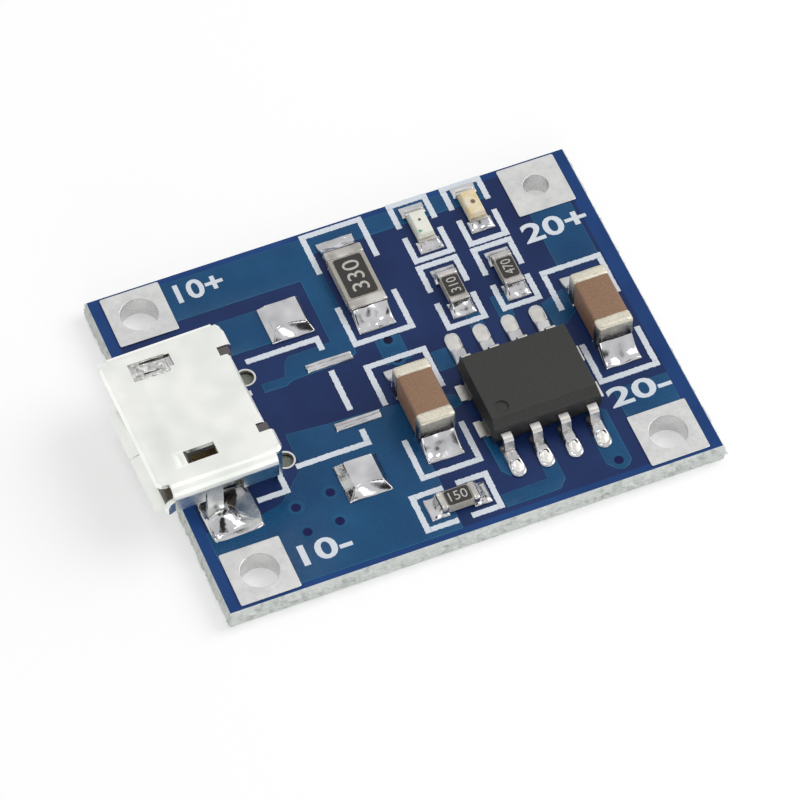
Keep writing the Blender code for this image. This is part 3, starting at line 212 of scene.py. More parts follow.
# each has its light and dark tone, roughness, grain per mm, and strength and height in mm of its relief
finishes = {
    "tinned_pad": metalFinish("hotTinned", (228, 228, 227), (212, 212, 212), (0.24, 0.36), 6, 0.25, 0.01),
    "solder": metalFinish("brightSolder", (214, 215, 217), (180, 181, 184), (0.10, 0.24), 5, 0.5, 0.015),
    "contact_gold": metalFinish("springGold", (222, 188, 110), (200, 168, 92), (0.2, 0.3), 5, 0.2, 0.01),
    "lead_tin": metalFinish("leadTin", (232, 230, 226), (212, 209, 204), (0.26, 0.4), 6, 0.4, 0.01),
    "black_plastic": plainFinish("mouldedBlack", (48, 48, 46), (32, 32, 31), (0.42, 0.55), 16, 0.5, 0.012),
    "white_ceramic": plainFinish("alumina", (190, 186, 176), (168, 163, 152), (0.5, 0.65), 12, 0.4, 0.01),
    "dark_coat": plainFinish("darkCoat", (50, 48, 45), (36, 34, 32), (0.3, 0.42), 14, 0.3, 0.008),
    "tan_ceramic": plainFinish("tanCeramic", (160, 124, 96), (136, 104, 80), (0.4, 0.5), 14, 0.3, 0.008),
    "led_base": plainFinish("ledBase", (220, 214, 196), (196, 188, 168), (0.45, 0.55), 10, 0.3, 0.008),
    "clear_lens": plainFinish("clearLens", (254, 255, 246), (246, 247, 232), (0.12, 0.2), 5, 0.1, 0.005),
    "amber_lens": plainFinish("amberLens", (253, 244, 222), (244, 218, 162), (0.12, 0.2), 3, 0.1, 0.005),
}


lacquer = {
    "specular": 0.2,
    "tones": {"perMm": 0.5},
    "specks": {"perMm": 18, "detail": 4.0},
    "speckShare": 0.12,
    "slope": (0.99, 0.9),        # the share of the surface's normal that points up
    # how strongly the painted highlight shows on the steepest slopes
    "highlightShare": (0.0, 0.8),
    "dull": {"perMm": 8, "low": 0.22, "high": 0.36},
    "bump": (0.15, 0.008),
}


def makeMaskFinish(name, light, dark, edge):
    # lacquer over the copper: fine specks, and a lighter line where it slopes down, which is a painted
    # highlight
    material, tree, shader = newMaterial(name, specular_ior_level=lacquer["specular"])
    broad = grainIn(tree, **lacquer["tones"])
    speck = grainIn(tree, **lacquer["specks"])
    tone = mixTones(tree, broad["Value"], (dark, light))
    specks = mixColour(tree, speck["Value"], tone, colour(*edge))
    specked = mixColour(tree, lacquer["speckShare"], tone, specks)
    # painted highlight: the last colour where the face slopes down at the copper's step
    normal = addNode(tree, "ShaderNodeNewGeometry").outputs["True Normal"]
    upward = addNode(tree, "ShaderNodeSeparateXYZ", {"Vector": normal}).outputs["Z"]
    steep = remap(tree, upward, lacquer["slope"], lacquer["highlightShare"])
    slopeHighlighted = mixColour(tree, steep, specked, colour(*edge))
    rough = grainIn(tree, **lacquer["dull"])
    dress(tree, shader, slopeHighlighted, rough["Value"], speck["Height"], *lacquer["bump"])
    return material


laminateLook = {
    "specular": 0.2,
    "tones": {"perMm": 0.35},
    "navy": ((24, 42, 90), (32, 56, 108)),
    "border": ((20, 58, 118), (30, 74, 136)),
    "copperX": (-10.33, 10.2),
    "copperY": (-8.03, 8.0),
    "softness": 0.06,
    "specks": {"perMm": 18, "detail": 4.0},
    "fibres": {"perMm": 5, "detail": 6.0, "stretch": (1.0, 1.0, 4.0)},
    "fibre": ((212, 217, 213), (236, 239, 236)),
    "pits": {"perMm": 3.4, "low": -0.1, "high": 2.2, "detail": 5.0, "stretch": (1.0, 1.0, 0.8)},
    "pit": (190, 197, 192),
    "skin": 0.012,
    "skinSoftness": 0.01,
    "roughness": (0.28, 0.75),
    "bump": (0.35, 0.02),
}


def makeLaminateFinish():
    # lacquered faces, a brighter border without copper, and pale glass fibre where the edge is snapped
    look = laminateLook
    material, tree, shader = newMaterial("maskedLaminate", specular_ior_level=look["specular"])
    x, y, z = boardAxes(tree)
    along = bandIn(tree, x, look["copperX"], look["softness"])
    across = bandIn(tree, y, look["copperY"], look["softness"])
    broad = grainIn(tree, **look["tones"])
    navy = mixTones(tree, broad["Value"], look["navy"])
    border = mixTones(tree, broad["Value"], look["border"])
    mask = mixColour(tree, calculate(tree, "MULTIPLY", along, across), border, navy)
    fibre = grainIn(tree, **look["fibres"])
    pits = grainIn(tree, **look["pits"])
    pale = mixTones(tree, fibre["Value"], look["fibre"])
    glass = mixColour(tree, pits["Value"], colour(*look["pit"]), pale)
    snapped = bandIn(tree, z, (look["skin"], boardTop / mm - look["skin"]), look["skinSoftness"])
    tone = mixColour(tree, snapped, mask, glass)
    rough = remap(tree, snapped, toSpan=look["roughness"])
    speck = grainIn(tree, **look["specks"])
    height = mixColour(tree, snapped, speck["Height"], fibre["Height"])
    dress(tree, shader, tone, rough, height, *look["bump"])
    return material


capLook = {
    "reflectionFade": (1.75, 2.45),        # height over the board's underside
    "cream": ((202, 196, 178), (232, 227, 212)),
    # the lower face's tones: a painted dark reflection
    "darkReflection": ((86, 85, 83), (122, 120, 117)),
    "specks": {"perMm": 14, "detail": 4.0},
    "roughness": (0.2, 0.46),
    "bump": (0.5, 0.015),
}


def makeCapFinish():
    # speckled cream tin on top; lower down the face is smoother, and darker with a painted dark reflection
    material, tree, shader = newMaterial("capTin", metallic=1.0)
    aboveReflection = remap(tree, boardAxes(tree)["Z"], capLook["reflectionFade"], ease="SMOOTHSTEP")
    speck = grainIn(tree, **capLook["specks"])
    cream = mixTones(tree, speck["Value"], capLook["cream"])
    # painted dark reflection on the lower face
    darkReflection = mixTones(tree, speck["Value"], capLook["darkReflection"])
    tone = mixColour(tree, aboveReflection, darkReflection, cream)
    rough = remap(tree, aboveReflection, toSpan=capLook["roughness"])
    dress(tree, shader, tone, rough, speck["Height"], *capLook["bump"])
    return material


sheetLook = {
    "smudge": {"perMm": 0.6, "high": 1.2, "detail": 1.5},
    "blotches": {"perMm": 5},
    "dull": {"perMm": 1.2, "low": 0.2, "high": 0.28, "detail": 1.0},
    "sheet": ((240, 243, 237), (254, 255, 251)),
    # painted shade and mottled painted reflection of the far latch leaf
    "leaf": ((150, 150, 148), (236, 236, 233)),
    "leafPlace": {"X": (-10.95, -9.35), "Y": (1.95, 2.85), "Z": (2.9, 3.765)},
    "dentPlace": {"X": (-10.85, -10.38), "Y": (-2.7, -1.9)},
    "bendPlace": {"Y": (-3.9, -3.34), "Z": (3.2, 3.9)},
    "softness": 0.03,
    "dentDullness": 0.5,
    "bendDullness": 0.3,
    "bump": (0.8, 0.06),
}


def makeShellFinish():
    # smudged plated sheet: painted shade with mottled painted reflections on the far latch leaf, down in its
    # window; duller in the near dimple and bend
    look = sheetLook
    material, tree, shader = newMaterial("platedSheet", metallic=1.0)
    axes = boardAxes(tree)

    def inside(place):
        share = 1.0
        for axis, span in place.items():
            share = calculate(tree, "MULTIPLY", share, bandIn(tree, axes[axis], span, look["softness"]))
        return share

    leaf = inside(look["leafPlace"])
    smudge = grainIn(tree, **look["smudge"])
    blotch = grainIn(tree, **look["blotches"])
    sheetTone = mixTones(tree, smudge["Value"], look["sheet"])
    # the leaf's painted shade, mottled with painted reflections
    leafShade = mixTones(tree, blotch["Value"], look["leaf"])
    tone = mixColour(tree, leaf, sheetTone, leafShade)
    rough = grainIn(tree, **look["dull"])["Value"]
    rough = calculate(tree, "MULTIPLY_ADD", inside(look["dentPlace"]), look["dentDullness"], rough)
    rough = calculate(tree, "MULTIPLY_ADD", inside(look["bendPlace"]), look["bendDullness"], rough)
    height = calculate(tree, "MULTIPLY", leaf, blotch["Height"])
    dress(tree, shader, tone, rough, height, *look["bump"])
    return material


shadeGloss = {"specular_ior_level": 0.15}

finishes["shell_steel"] = makeShellFinish()
# the last colour of a mask finish is for its specks and its painted highlight on slopes
maskOverCopper = makeMaskFinish("maskOverCopper", (26, 84, 130), (20, 68, 114), (46, 122, 156))
maskedLaminate = makeLaminateFinish()
whiteInk = plainFinish("whiteInk", (240, 246, 252), (222, 230, 242), (0.5, 0.65), 20, 0.4, 0.006)
# its last colour is for the specks and the painted highlight on slopes
viaRim = makeMaskFinish("viaRim", (30, 92, 136), (24, 76, 120), (60, 136, 160))
viaShade = plainFinish("viaShade", (26, 30, 92), (16, 20, 66), (0.3, 0.45), 14, 0.4, 0.008, **shadeGloss)
holeShade = plainFinish("holeShade", (22, 26, 74), (8, 10, 26), (0.4, 0.5), 9, 0.4, 0.008, **shadeGloss)
pegPlastic = plainFinish("pegPlastic", (140, 146, 134), (104, 110, 100), (0.5, 0.6), 14, 0.4, 0.008)
insulatorPlastic = plainFinish("insulatorPlastic", (104, 99, 101), (84, 80, 82), (0.45, 0.55), 14, 0.4, 0.01)
coatPrint = plainFinish("coatPrint", (214, 212, 204), (180, 178, 170), (0.5, 0.65), 20, 0.4, 0.004)
brightSolder = metalFinish("mirrorSolder", (222, 222, 224), (188, 188, 191), (0.07, 0.16), 4, 0.35, 0.02)
resistorTin = metalFinish("resistorTin", (222, 219, 214), (168, 165, 160), (0.10, 0.26), 5, 0.6, 0.03)
capTin = makeCapFinish()
greenMark = plainFinish("greenMark", (110, 196, 150), (80, 170, 124), (0.3, 0.4), 12, 0.2, 0.004)
dieShade = plainFinish("dieShade", (150, 128, 110), (110, 84, 70), (0.2, 0.3), 12, 0.2, 0.004)
print("finishes made")


# Pieces

sharpFrom = {"hard": 38, "rounded": 20, "shell": 9, "solder": 70}        # degrees
mending = {"weld": 0.0002, "flat": 0.8, "sharp": 32}        # mm, and twice degrees


def objectFrom(name, bm):
    mesh = bpy.data.meshes.new(name)
    bm.to_mesh(mesh)
    bm.free()
    made = bpy.data.objects.new(name, mesh)
    bpy.context.scene.collection.objects.link(made)
    return made


def addPiece(name, bm, finish, replaced=(), kind="hard"):
    bmesh.ops.recalc_face_normals(bm, faces=bm.faces)
    piece = objectFrom(name, bm)
    piece.data.materials.append(finish)
    piece.data.shade_smooth()
    piece.data.set_sharp_from_angle(angle=math.radians(sharpFrom[kind]))
    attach(piece, "root")
    if replaced:
        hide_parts(*replaced)
    return piece


def meshFrom(made):
    # the finished mesh of an object with its modifiers or its curve
    return bpy.data.meshes.new_from_object(made.evaluated_get(bpy.context.evaluated_depsgraph_get()))


def vertsOf(made):
    return [part for part in made["geom"] if isinstance(part, bmesh.types.BMVert)]


def edgesWithin(made, verts):
    edges = [part for part in made["geom"] if isinstance(part, bmesh.types.BMEdge)]
    return [edge for edge in edges if set(edge.verts) <= verts]


def bevelEdges(bm, edges, width, segments=2, clamp=False):
    bmesh.ops.bevel(
        bm,
        geom=edges,
        offset=width,
        segments=segments,
        profile=0.5,
        affect="EDGES",
        clamp_overlap=clamp,
        material=-1,
    )


def addDisc(bm, radius, sides, place):
    made = bmesh.ops.create_circle(bm, cap_ends=True, segments=sides, radius=radius, matrix=place)
    return made["verts"][0].link_faces[0]


def insetFace(bm, face, width, rise):
    bmesh.ops.inset_region(bm, faces=[face], thickness=width * mm, depth=rise * mm)


def addRod(bm, sides, lowRadius, highRadius, length, place):
    bmesh.ops.create_cone(
        bm,
        cap_ends=True,
        segments=sides,
        radius1=lowRadius,
        radius2=highRadius,
        depth=length,
        matrix=place,
    )


def weldedCopy(name):
    bm = bmesh.new()
    bm.from_mesh(nodes[name].data)
    bmesh.ops.remove_doubles(bm, verts=bm.verts, dist=mending["weld"] * mm)
    return bm


def softened(name, width):
    # a copy of a CAD node with its sharp edges rounded
    bm = weldedCopy(name)
    flat, sharp = [math.radians(mending[label]) for label in ("flat", "sharp")]
    bmesh.ops.dissolve_limit(bm, angle_limit=flat, verts=bm.verts, edges=bm.edges)
    edges = [edge for edge in bm.edges if len(edge.link_faces) == 2 and edge.calc_face_angle(0) > sharp]
    bevelEdges(bm, edges, width, clamp=True)
    return bm


def onBoard(x=0.0, y=0.0, turn=0.0, height=0.0):
    # from millimetres round a place on the board's top to the frame's metres
    place = Matrix.Translation((x * mm, y * mm, boardTop + height * mm))
    return place @ Matrix.Rotation(math.radians(turn), 4, "Z") @ Matrix.Scale(mm, 4)


def boxOf(name):
    # a node's lowest and highest corners in millimetres
    return [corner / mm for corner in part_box(name)]


def overNode(name, x=0.0, y=0.0, turn=0.0, height=0.0):
    low, high = boxOf(name)
    return onBoard((low.x + high.x) / 2 + x, (low.y + high.y) / 2 + y, turn, height)


def clamped(value, low=0.0, high=1.0):
    return max(low, min(high, value))


slotOf = {name: node.data.materials[0].name for name, node in nodes.items() if node.data.materials}
for name, node in nodes.items():
    finish = finishes.get(slotOf.get(name, "tinned_pad"), maskedLaminate)
    node.data.materials.clear()
    node.data.materials.append(finish)
nodes["usb_insulator"].data.materials[0] = insulatorPlastic
print("finishes given to the CAD nodes")


# The laminate with its scored and snapped edges

laminate = {
    "inset": 0.18,
    "depth": 0.33,
    "spacing": 0.1,
    "slopeRings": 3,
    "webRings": 6,
    "ragged": 0.17,
    "raggedFrom": 0.4,
    "raggedOver": 0.5,
    "fibresPerMm": (3.1, 5),
    "fractal": (0.6, 2.1, 4),
    "tear": (0.4, 0.9),
    "layer": 0.3,
    "layerFrom": 0.5,
    "layerWave": 0.05,
    "layerPerMm": 5,
    "layerStep": 7,
    "sideReach": 0.001,
    "wireHoles": ((-9.0, 6.9, 0.885), (-9.0, -6.9, 0.885), (9.0, -6.9, 0.885), (9.0, 6.9, 0.62)),
    "locatingHoles": ((-6.07, 2.23, 0.42), (-6.07, -2.23, 0.42)),
    "holeSides": 48,
    "pocketHalf": 1.32,
    "pocketDepth": 0.06,
}


def makeHoleCutter():
    bm = bmesh.new()
    for x, y, radius in laminate["wireHoles"] + laminate["locatingHoles"]:
        place = Matrix.Translation((x * mm, y * mm, boardTop / 2))
        addRod(bm, laminate["holeSides"], radius * mm, radius * mm, 2 * boardTop, place)
    side = 2 * laminate["pocketHalf"] * mm
    low = laminate["pocketDepth"] * mm - boardTop / 2
    for x, y, _ in laminate["wireHoles"]:
        place = Matrix.Translation((x * mm, y * mm, low)) @ Matrix.Diagonal((side, side, boardTop, 1))
        bmesh.ops.create_cube(bm, size=1, matrix=place)
    return objectFrom("holeCutter", bm)


def makeLaminate():
    inset = laminate["inset"]
    depth = laminate["depth"]
    top = boardTop / mm
    halfX = boardHigh.x / mm - inset
    halfY = boardHigh.y / mm - inset
    slopeRings, webRings = laminate["slopeRings"], laminate["webRings"]
    slope = [depth * step / slopeRings for step in range(1, slopeRings + 1)]
    web = [depth + (top - 2 * depth) * step / webRings for step in range(1, webRings + 1)]
    under = [top - level for level in reversed(slope[:-1])] + [top]
    bm = bmesh.new()
    outline = Matrix.Diagonal((halfX, halfY, 1, 1))
    bmesh.ops.create_grid(bm, x_segments=1, y_segments=1, size=1, matrix=outline)
    bmesh.ops.translate(bm, verts=bm.verts, vec=(0, 0, top))
    bmesh.ops.delete(bm, geom=bm.faces[:], context="FACES_ONLY")
    for edge in bm.edges[:]:
        cuts = round(edge.calc_length() / laminate["spacing"]) - 1
        bmesh.ops.subdivide_edges(bm, edges=[edge], cuts=cuts)
    ring = bm.edges[:]
    bmesh.ops.contextual_create(bm, geom=ring)
    for level in slope + web + under:
        made = bmesh.ops.extrude_edge_only(bm, edges=ring)
        lower = set(vertsOf(made))
        for vert in lower:
            vert.co.z = top - level
        ring = edgesWithin(made, lower)
    bmesh.ops.contextual_create(bm, geom=ring)
    flatwise, upright = laminate["fibresPerMm"]
    lean, swing = laminate["tear"]
    waves = laminate["layerPerMm"]
    for vert in bm.verts:
        x, y, z = vert.co
        near = min(top - z, z)
        outset = inset * clamped(near / depth)
        torn = clamped((near - laminate["raggedFrom"] * depth) / (laminate["raggedOver"] * depth))
        grain = noise.fractal(Vector((x * flatwise, y * flatwise, z * upright)), *laminate["fractal"])
        push = outset - laminate["ragged"] * torn * clamped(lean + swing * grain)
        if abs(x) > halfX - laminate["sideReach"]:
            vert.co.x += math.copysign(push, x)
        if abs(y) > halfY - laminate["sideReach"]:
            vert.co.y += math.copysign(push, y)
        if near > laminate["layerFrom"] * depth:
            layer = laminate["layerStep"] * round(z / laminate["layer"])
            vert.co.z += laminate["layerWave"] * noise.noise(Vector((x * waves, y * waves, layer)))
    bmesh.ops.scale(bm, vec=(mm, mm, mm), verts=bm.verts)
    board = addPiece("snappedBoard", bm, maskedLaminate, ["pcb_board"])
    cutter = makeHoleCutter()
    holes = board.modifiers.new("holes", "BOOLEAN")
    holes.operation = "DIFFERENCE"
    holes.solver = "EXACT"
    holes.object = cutter
    drilled = meshFrom(board)
    board.modifiers.clear()
    board.data = drilled
    bpy.data.objects.remove(cutter)
    drilled.set_sharp_from_angle(angle=math.radians(sharpFrom["hard"]))


makeLaminate()
print("laminate made")


# Copper under the lacquer

pours = {
    "height": 0.02,
    "edge": 0.03,
    "shapes": (
        ((-7.92, 8.03), (-7.92, 5.99), (-2.14, 5.99), (-2.14, 2.62), (-4.03, 2.59), (-4.29, 2.36),
         (-4.55, 1.67), (-5.6, 1.67), (-5.6, 1.2), (-4.62, 1.2), (-4.29, 1.37), (-1.72, 1.43),
         (-1.32, 1.7), (-1.32, 2.1), (-1.12, 2.59), (-1.12, 5.99), (-1.32, 6.1), (-1.32, 7.13),
         (6.98, 7.13), (6.98, 8.05)),
        ((-6.6, 3.48), (-2.54, 3.48), (-2.54, 5.3), (-6.6, 5.3)),
        ((-5.61, -1.04), (-5.61, -1.7), (-5.55, -2.75), (-7.0, -4.17), (-7.92, -4.37), (-10.36, -4.37),
         (-10.36, -5.9), (-7.95, -5.9), (-7.95, -8.07), (-0.59, -8.07), (-0.59, -2.86), (2.19, -2.28),
         (1.44, -1.7), (-1.32, -1.3), (-3.7, -1.2)),
        ((1.44, -7.15), (1.44, -7.82), (3.84, -7.79), (4.21, -7.38), (4.21, -5.7), (3.55, -5.7),
         (3.5, -7.11)),
        ((6.02, -5.9), (6.02, -7.38), (6.32, -7.74), (6.62, -7.85), (6.91, -7.74), (7.1, -7.52),
         (7.1, -4.9), (6.88, -4.67), (6.75, -5.9)),
        ((1.85, -4.14), (1.9, -6.09), (2.19, -6.47), (2.3, -6.2), (2.3, -5.2), (2.19, -4.44)),
        ((7.74, -5.7), (10.18, -5.7), (10.18, -4.08), (7.74, -4.08)),
        ((8.15, 2.62), (10.03, 2.62), (10.03, 5.7), (8.15, 5.7)),
        ((6.76, 1.12), (6.85, -0.23), (7.36, -0.23), (7.97, 0.21), (7.89, 1.5)),
        ((-0.43, 0.6), (0.69, 0.6), (0.69, 1.91), (-0.43, 1.91)),
        ((3.55, 0.97), (4.17, 0.97), (4.17, 1.7), (3.55, 1.7)),
        ((4.88, 0.97), (5.53, 0.97), (5.53, 2.24), (4.88, 2.24)),
        ((1.52, -0.51), (2.26, -0.51), (2.26, 0.54), (1.52, 0.54)),
    ),
}


def makePours():
    bm = bmesh.new()
    for shape in pours["shapes"]:
        bm.faces.new([bm.verts.new((x, y, -pours["height"])) for x, y in shape])
    raised = bmesh.ops.extrude_face_region(bm, geom=bm.faces[:])
    for vert in vertsOf(raised):
        vert.co.z = pours["height"]
    rims = [edge for edge in bm.edges if min(vert.co.z for vert in edge.verts) > 0]
    bevelEdges(bm, rims, pours["edge"])
    bmesh.ops.transform(bm, matrix=onBoard(), verts=bm.verts)
    addPiece("copperPours", bm, maskOverCopper)


vias = {
    "inner": 0.20,
    "outer": 0.36,
    "sides": (28, 24),        # of a ring and of what fills it
    "ringHigh": 0.016,
    "ringRise": (0.06, 0.018),        # width and height of each step
    "ringDip": (0.04, -0.01),
    "ringSlopes": 0.08,
    "plugHigh": 0.036,
    "plugDip": (0.07, -0.006),
    "tented": ((-6.52, -4.59), (-4.95, -4.42), (-6.52, -5.87), (-5.11, -5.87), (6.57, -7.39)),
    "open": ((0.125, 0.75), (0.125, 1.78)),
}


def makeVias():
    rings, plugs, holes = bmesh.new(), bmesh.new(), bmesh.new()
    ringSides, plugSides = vias["sides"]
    for x, y in vias["tented"] + vias["open"]:
        face = addDisc(rings, vias["outer"], ringSides, onBoard(x, y, 0, vias["ringHigh"]))
        insetFace(rings, face, *vias["ringRise"])
        insetFace(rings, face, vias["outer"] - vias["inner"] - vias["ringSlopes"], 0)
        insetFace(rings, face, *vias["ringDip"])
        target = holes if (x, y) in vias["open"] else plugs
        face = addDisc(target, vias["inner"], plugSides, onBoard(x, y, 0, vias["plugHigh"]))
        insetFace(target, face, *vias["plugDip"])
    addPiece("viaRings", rings, viaRim)
    addPiece("viaPlugs", plugs, viaShade)
    addPiece("viaHoles", holes, holeShade)


pegs = {
    "radius": 0.34,
    "taper": 0.86,
    "sides": 32,
    "low": -0.85,
    "high": -0.16,
    "rim": 0.05,
    "rimAngle": 1,
}


def makePegs():
    # the socket's two moulded pegs, down in the locating holes
    bm = bmesh.new()
    radius, low, high = [pegs[label] for label in ("radius", "low", "high")]
    for x, y, _ in laminate["locatingHoles"]:
        place = onBoard(x, y, 0, (low + high) / 2)
        addRod(bm, pegs["sides"], radius * pegs["taper"], radius, high - low, place)
    rims = [edge for edge in bm.edges if edge.calc_face_angle(0) > pegs["rimAngle"]]
    bevelEdges(bm, rims, pegs["rim"] * mm)
    addPiece("locatingPegs", bm, pegPlastic)


makePours()
makeVias()
makePegs()
print("copper made")


# White printing: part outlines, and plain numbers at the four terminals

ink = {
    "width": 0.25,
    "top": 0.034,
    "step": 0.045,
    "ragged": 0.03,
    "fray": (14, 9),
    "brackets": (
        (-1.37, 8.2, 1.48, 6.02, "down"), (-1.34, 4.12, 1.45, 1.96, "up"),
        (-1.35, 0.94, 1.45, -1.25, "down"), (-1.32, -3.18, 1.45, -5.33, "up"),
        (2.64, 8.33, 4.5, 6.96, "down"), (2.64, 6.42, 4.5, 4.98, "up"),
        (5.08, 8.33, 6.98, 7.04, "down"), (5.12, 6.42, 6.98, 4.95, "up"),
        (2.59, 4.85, 4.49, 3.38, "down"), (2.59, 2.75, 4.46, 1.27, "up"),
        (5.08, 4.85, 6.96, 3.33, "down"), (5.12, 2.75, 6.93, 1.32, "up"),
        (7.31, 2.64, 10.11, 0.45, "down"), (7.36, -1.49, 10.1, -3.65, "up"),
        (-2.11, -5.82, -0.63, -7.77, "right"), (-0.05, -5.82, 1.37, -7.77, "left"),
    ),
    "lines": (
        ((-5.77, 2.96), (-2.475, 2.96)), ((-2.6, 2.835), (-2.6, 2.34)), ((-2.66, 1.22), (-2.66, -0.92)),
        ((-5.77, -2.72), (-2.475, -2.72)), ((-2.6, -2.595), (-2.6, -2.0)),
        ((-7.84, -3.68), (-6.425, -3.68)), ((-6.55, -3.555), (-6.55, -2.99)), ((-6.3, 1.43), (-6.1, 1.43)),
    ),
    "numbers": (
        ("10+", -7.23, 7.79, -5.12, 6.80),
        ("10-", -7.23, -6.35, -5.03, -7.39),
        ("20+", 7.45, 5.18, 10.35, 4.16),
        ("20-", 7.40, -3.98, 10.16, -4.97),
    ),
    "bold": 0.022,
}
digits = {"depth": 0.05, "curveSteps": 4}


def bracketLines(left, high, right, low, opening):
    # the three strokes of an outline with one side open
    half = ink["width"] / 2
    left, right = left + half, right - half
    high, low = high - half, low + half
    sides = {
        "down": ((left - half, high), (right + half, high)),
        "up": ((left - half, low), (right + half, low)),
        "right": ((left, high + half), (left, low - half)),
        "left": ((right, high + half), (right, low - half)),
    }
    yield sides[opening]
    if opening in ("down", "up"):
        start, end = (high - half, low - half) if opening == "down" else (low + half, high + half)
        yield (left, start), (left, end)
        yield (right, start), (right, end)
    else:
        start, end = (left + half, right + half) if opening == "right" else (right - half, left - half)
        yield (start, high), (end, high)
        yield (start, low), (end, low)


def addStroke(bm, start, end):
    start, end = Vector(start), Vector(end)
    run = end - start
    turn = math.degrees(math.atan2(run.y, run.x))
    middle = (start + end) / 2
    cells = max(3, round(run.length / ink["step"]))
    made = bmesh.ops.create_grid(bm, x_segments=cells, y_segments=2, size=0.5)
    along, across = ink["fray"]
    for vert in made["verts"]:
        spot = Vector((vert.co.x * run.length * along, vert.co.y * across + start.x, start.y))
        jitter = ink["ragged"] * noise.noise(spot)
        vert.co.x *= run.length
        vert.co.y *= ink["width"] + 2 * jitter
    bmesh.ops.transform(bm, matrix=onBoard(middle.x, middle.y, turn), verts=made["verts"])


def addNumber(bm, words, left, high, right, low, bold=0.0):
    # a line of plain digits, made a mesh first and then fitted to its place
    curve = bpy.data.curves.new("digits", "FONT")
    curve.body = words
    curve.extrude = digits["depth"]
    curve.offset = bold
    curve.resolution_u = digits["curveSteps"]
    holder = bpy.data.objects.new("digits", curve)
    bpy.context.scene.collection.objects.link(holder)
    mesh = meshFrom(holder)
    bpy.data.objects.remove(holder)
    bpy.data.curves.remove(curve)
    before = len(bm.verts)
    bm.from_mesh(mesh)
    bpy.data.meshes.remove(mesh)
    bm.verts.ensure_lookup_table()
    verts = bm.verts[before:]
    lows = [min(vert.co[axis] for vert in verts) for axis in range(3)]
    highs = [max(vert.co[axis] for vert in verts) for axis in range(3)]
    for vert in verts:
        for axis in range(3):
            vert.co[axis] = (vert.co[axis] - lows[axis]) / (highs[axis] - lows[axis]) - 0.5
    bmesh.ops.scale(bm, vec=(right - left, high - low, 1), verts=verts)
    return verts, ((left + right) / 2, (high + low) / 2)


def makeInk():
    bm = bmesh.new()
    for bracket in ink["brackets"]:
        for start, end in bracketLines(*bracket):
            addStroke(bm, start, end)
    for start, end in ink["lines"]:
        addStroke(bm, start, end)
    raised = bmesh.ops.extrude_face_region(bm, geom=bm.faces[:])
    bmesh.ops.translate(bm, verts=vertsOf(raised), vec=(0, 0, ink["top"] * mm))
    for words, left, high, right, low in ink["numbers"]:
        verts, (x, y) = addNumber(bm, words, left, high, right, low, ink["bold"])
        bmesh.ops.scale(bm, vec=(1, 1, ink["top"]), verts=verts)
        bmesh.ops.transform(bm, matrix=onBoard(x, y, 0, ink["top"] / 2), verts=verts)
    addPiece("whitePrint", bm, whiteInk)


makeInk()
print("print made")


# Solder

solder = {
    "cell": 0.045,
    "fineCell": 0.035,
    "foot": 0.01,
    "padTop": 0.06,
    "sink": 0.02,
    "least": 0.01,
    "film": 0.07,
    "perMm": 2.6,
    "rim": 0.13,
    "lumps": (0.6, 0.4),        # the shares of broad lumps and of creases
    "creaseScale": 0.8,
    "creaseShift": (5, 9),
}


def pourSolder(name, replaced, place, along, across, height, cell=solder["cell"], halfWidth=None):
    # a pool of solder: a grid raised by a function of its place, with a skirt down to the board
    bm = bmesh.new()
    low, high = along
    cells = [max(4, round(span / cell)) for span in (high - low, across)]
    pool = bmesh.ops.create_grid(bm, x_segments=cells[0], y_segments=cells[1], size=0.5)["verts"]
    rims = {edge for vert in pool for edge in vert.link_edges if edge.is_boundary}
    for vert in pool:
        u = low + (vert.co.x + 0.5) * (high - low)
        v = vert.co.y * across
        if halfWidth:
            v *= 2 * halfWidth(u) / across
        vert.co = (u, v, height(u, v))
    made = bmesh.ops.extrude_edge_only(bm, edges=list(rims))
    skirt = set(vertsOf(made))
    for vert in skirt:
        vert.co.z = solder["foot"]
    bmesh.ops.contextual_create(bm, geom=edgesWithin(made, skirt))
    bmesh.ops.transform(bm, matrix=place, verts=pool + list(skirt))
    addPiece(name, bm, brightSolder, replaced, "solder")


def unevenness(u, v, seed, perMm=solder["perMm"]):
    # broad lumps with some creases, from about -1 to 1
    scale, (along, aside) = solder["creaseScale"], solder["creaseShift"]
    broad = noise.noise(Vector((u * perMm, v * perMm, seed)))
    fold = noise.noise(Vector((u * perMm * scale + along, v * perMm * scale, seed + aside)))
    return solder["lumps"][0] * broad + solder["lumps"][1] * (1 - 2 * abs(fold))


def roundedRim(distance, radius=solder["rim"]):
    share = clamped(distance / radius)
    return math.sqrt(1 - (1 - share) ** 2)


resistorEnd = {"climb": 0.38, "edge": 0.07, "metal": "solder", "bulge": 0.06}
capacitorEnd = {"climb": 0.50, "edge": 0.14, "metal": "cap", "bulge": 0.10}
lightEnd = {"climb": 0.16, "edge": 0.03, "metal": "solder", "bulge": 0.05}
ends = {
    "sense_resistor": {**resistorEnd, "climb": 0.50, "edge": 0.09},
    "led_resistor_a": resistorEnd,
    "led_resistor_b": resistorEnd,
    "program_resistor": resistorEnd,
    "input_capacitor": capacitorEnd,
    "output_capacitor": capacitorEnd,
    "charge_led": lightEnd,
    "standby_led": lightEnd,
}
joint = {
    "perMm": {"solder": 2.6, "cap": 1.7},
    "steep": (2.3, 1.5),        # along the part, and beside it
    "inward": 0.5,
    "least": 0.05,
    "hidden": (0.05, 0.03),
    "hiddenDrop": 0.01,
    "rimReach": 0.03,
    "wall": 0.04,
    "tall": 0.3,
    "wrap": {True: 0.04, False: 0.02},        # for a tall part and a low one
    "segments": 3,
    "longest": 0.25,
    "cuts": 6,
    "swell": 0.018,
    "swellPerMm": 3.5,
    "seed": 3.7,
}


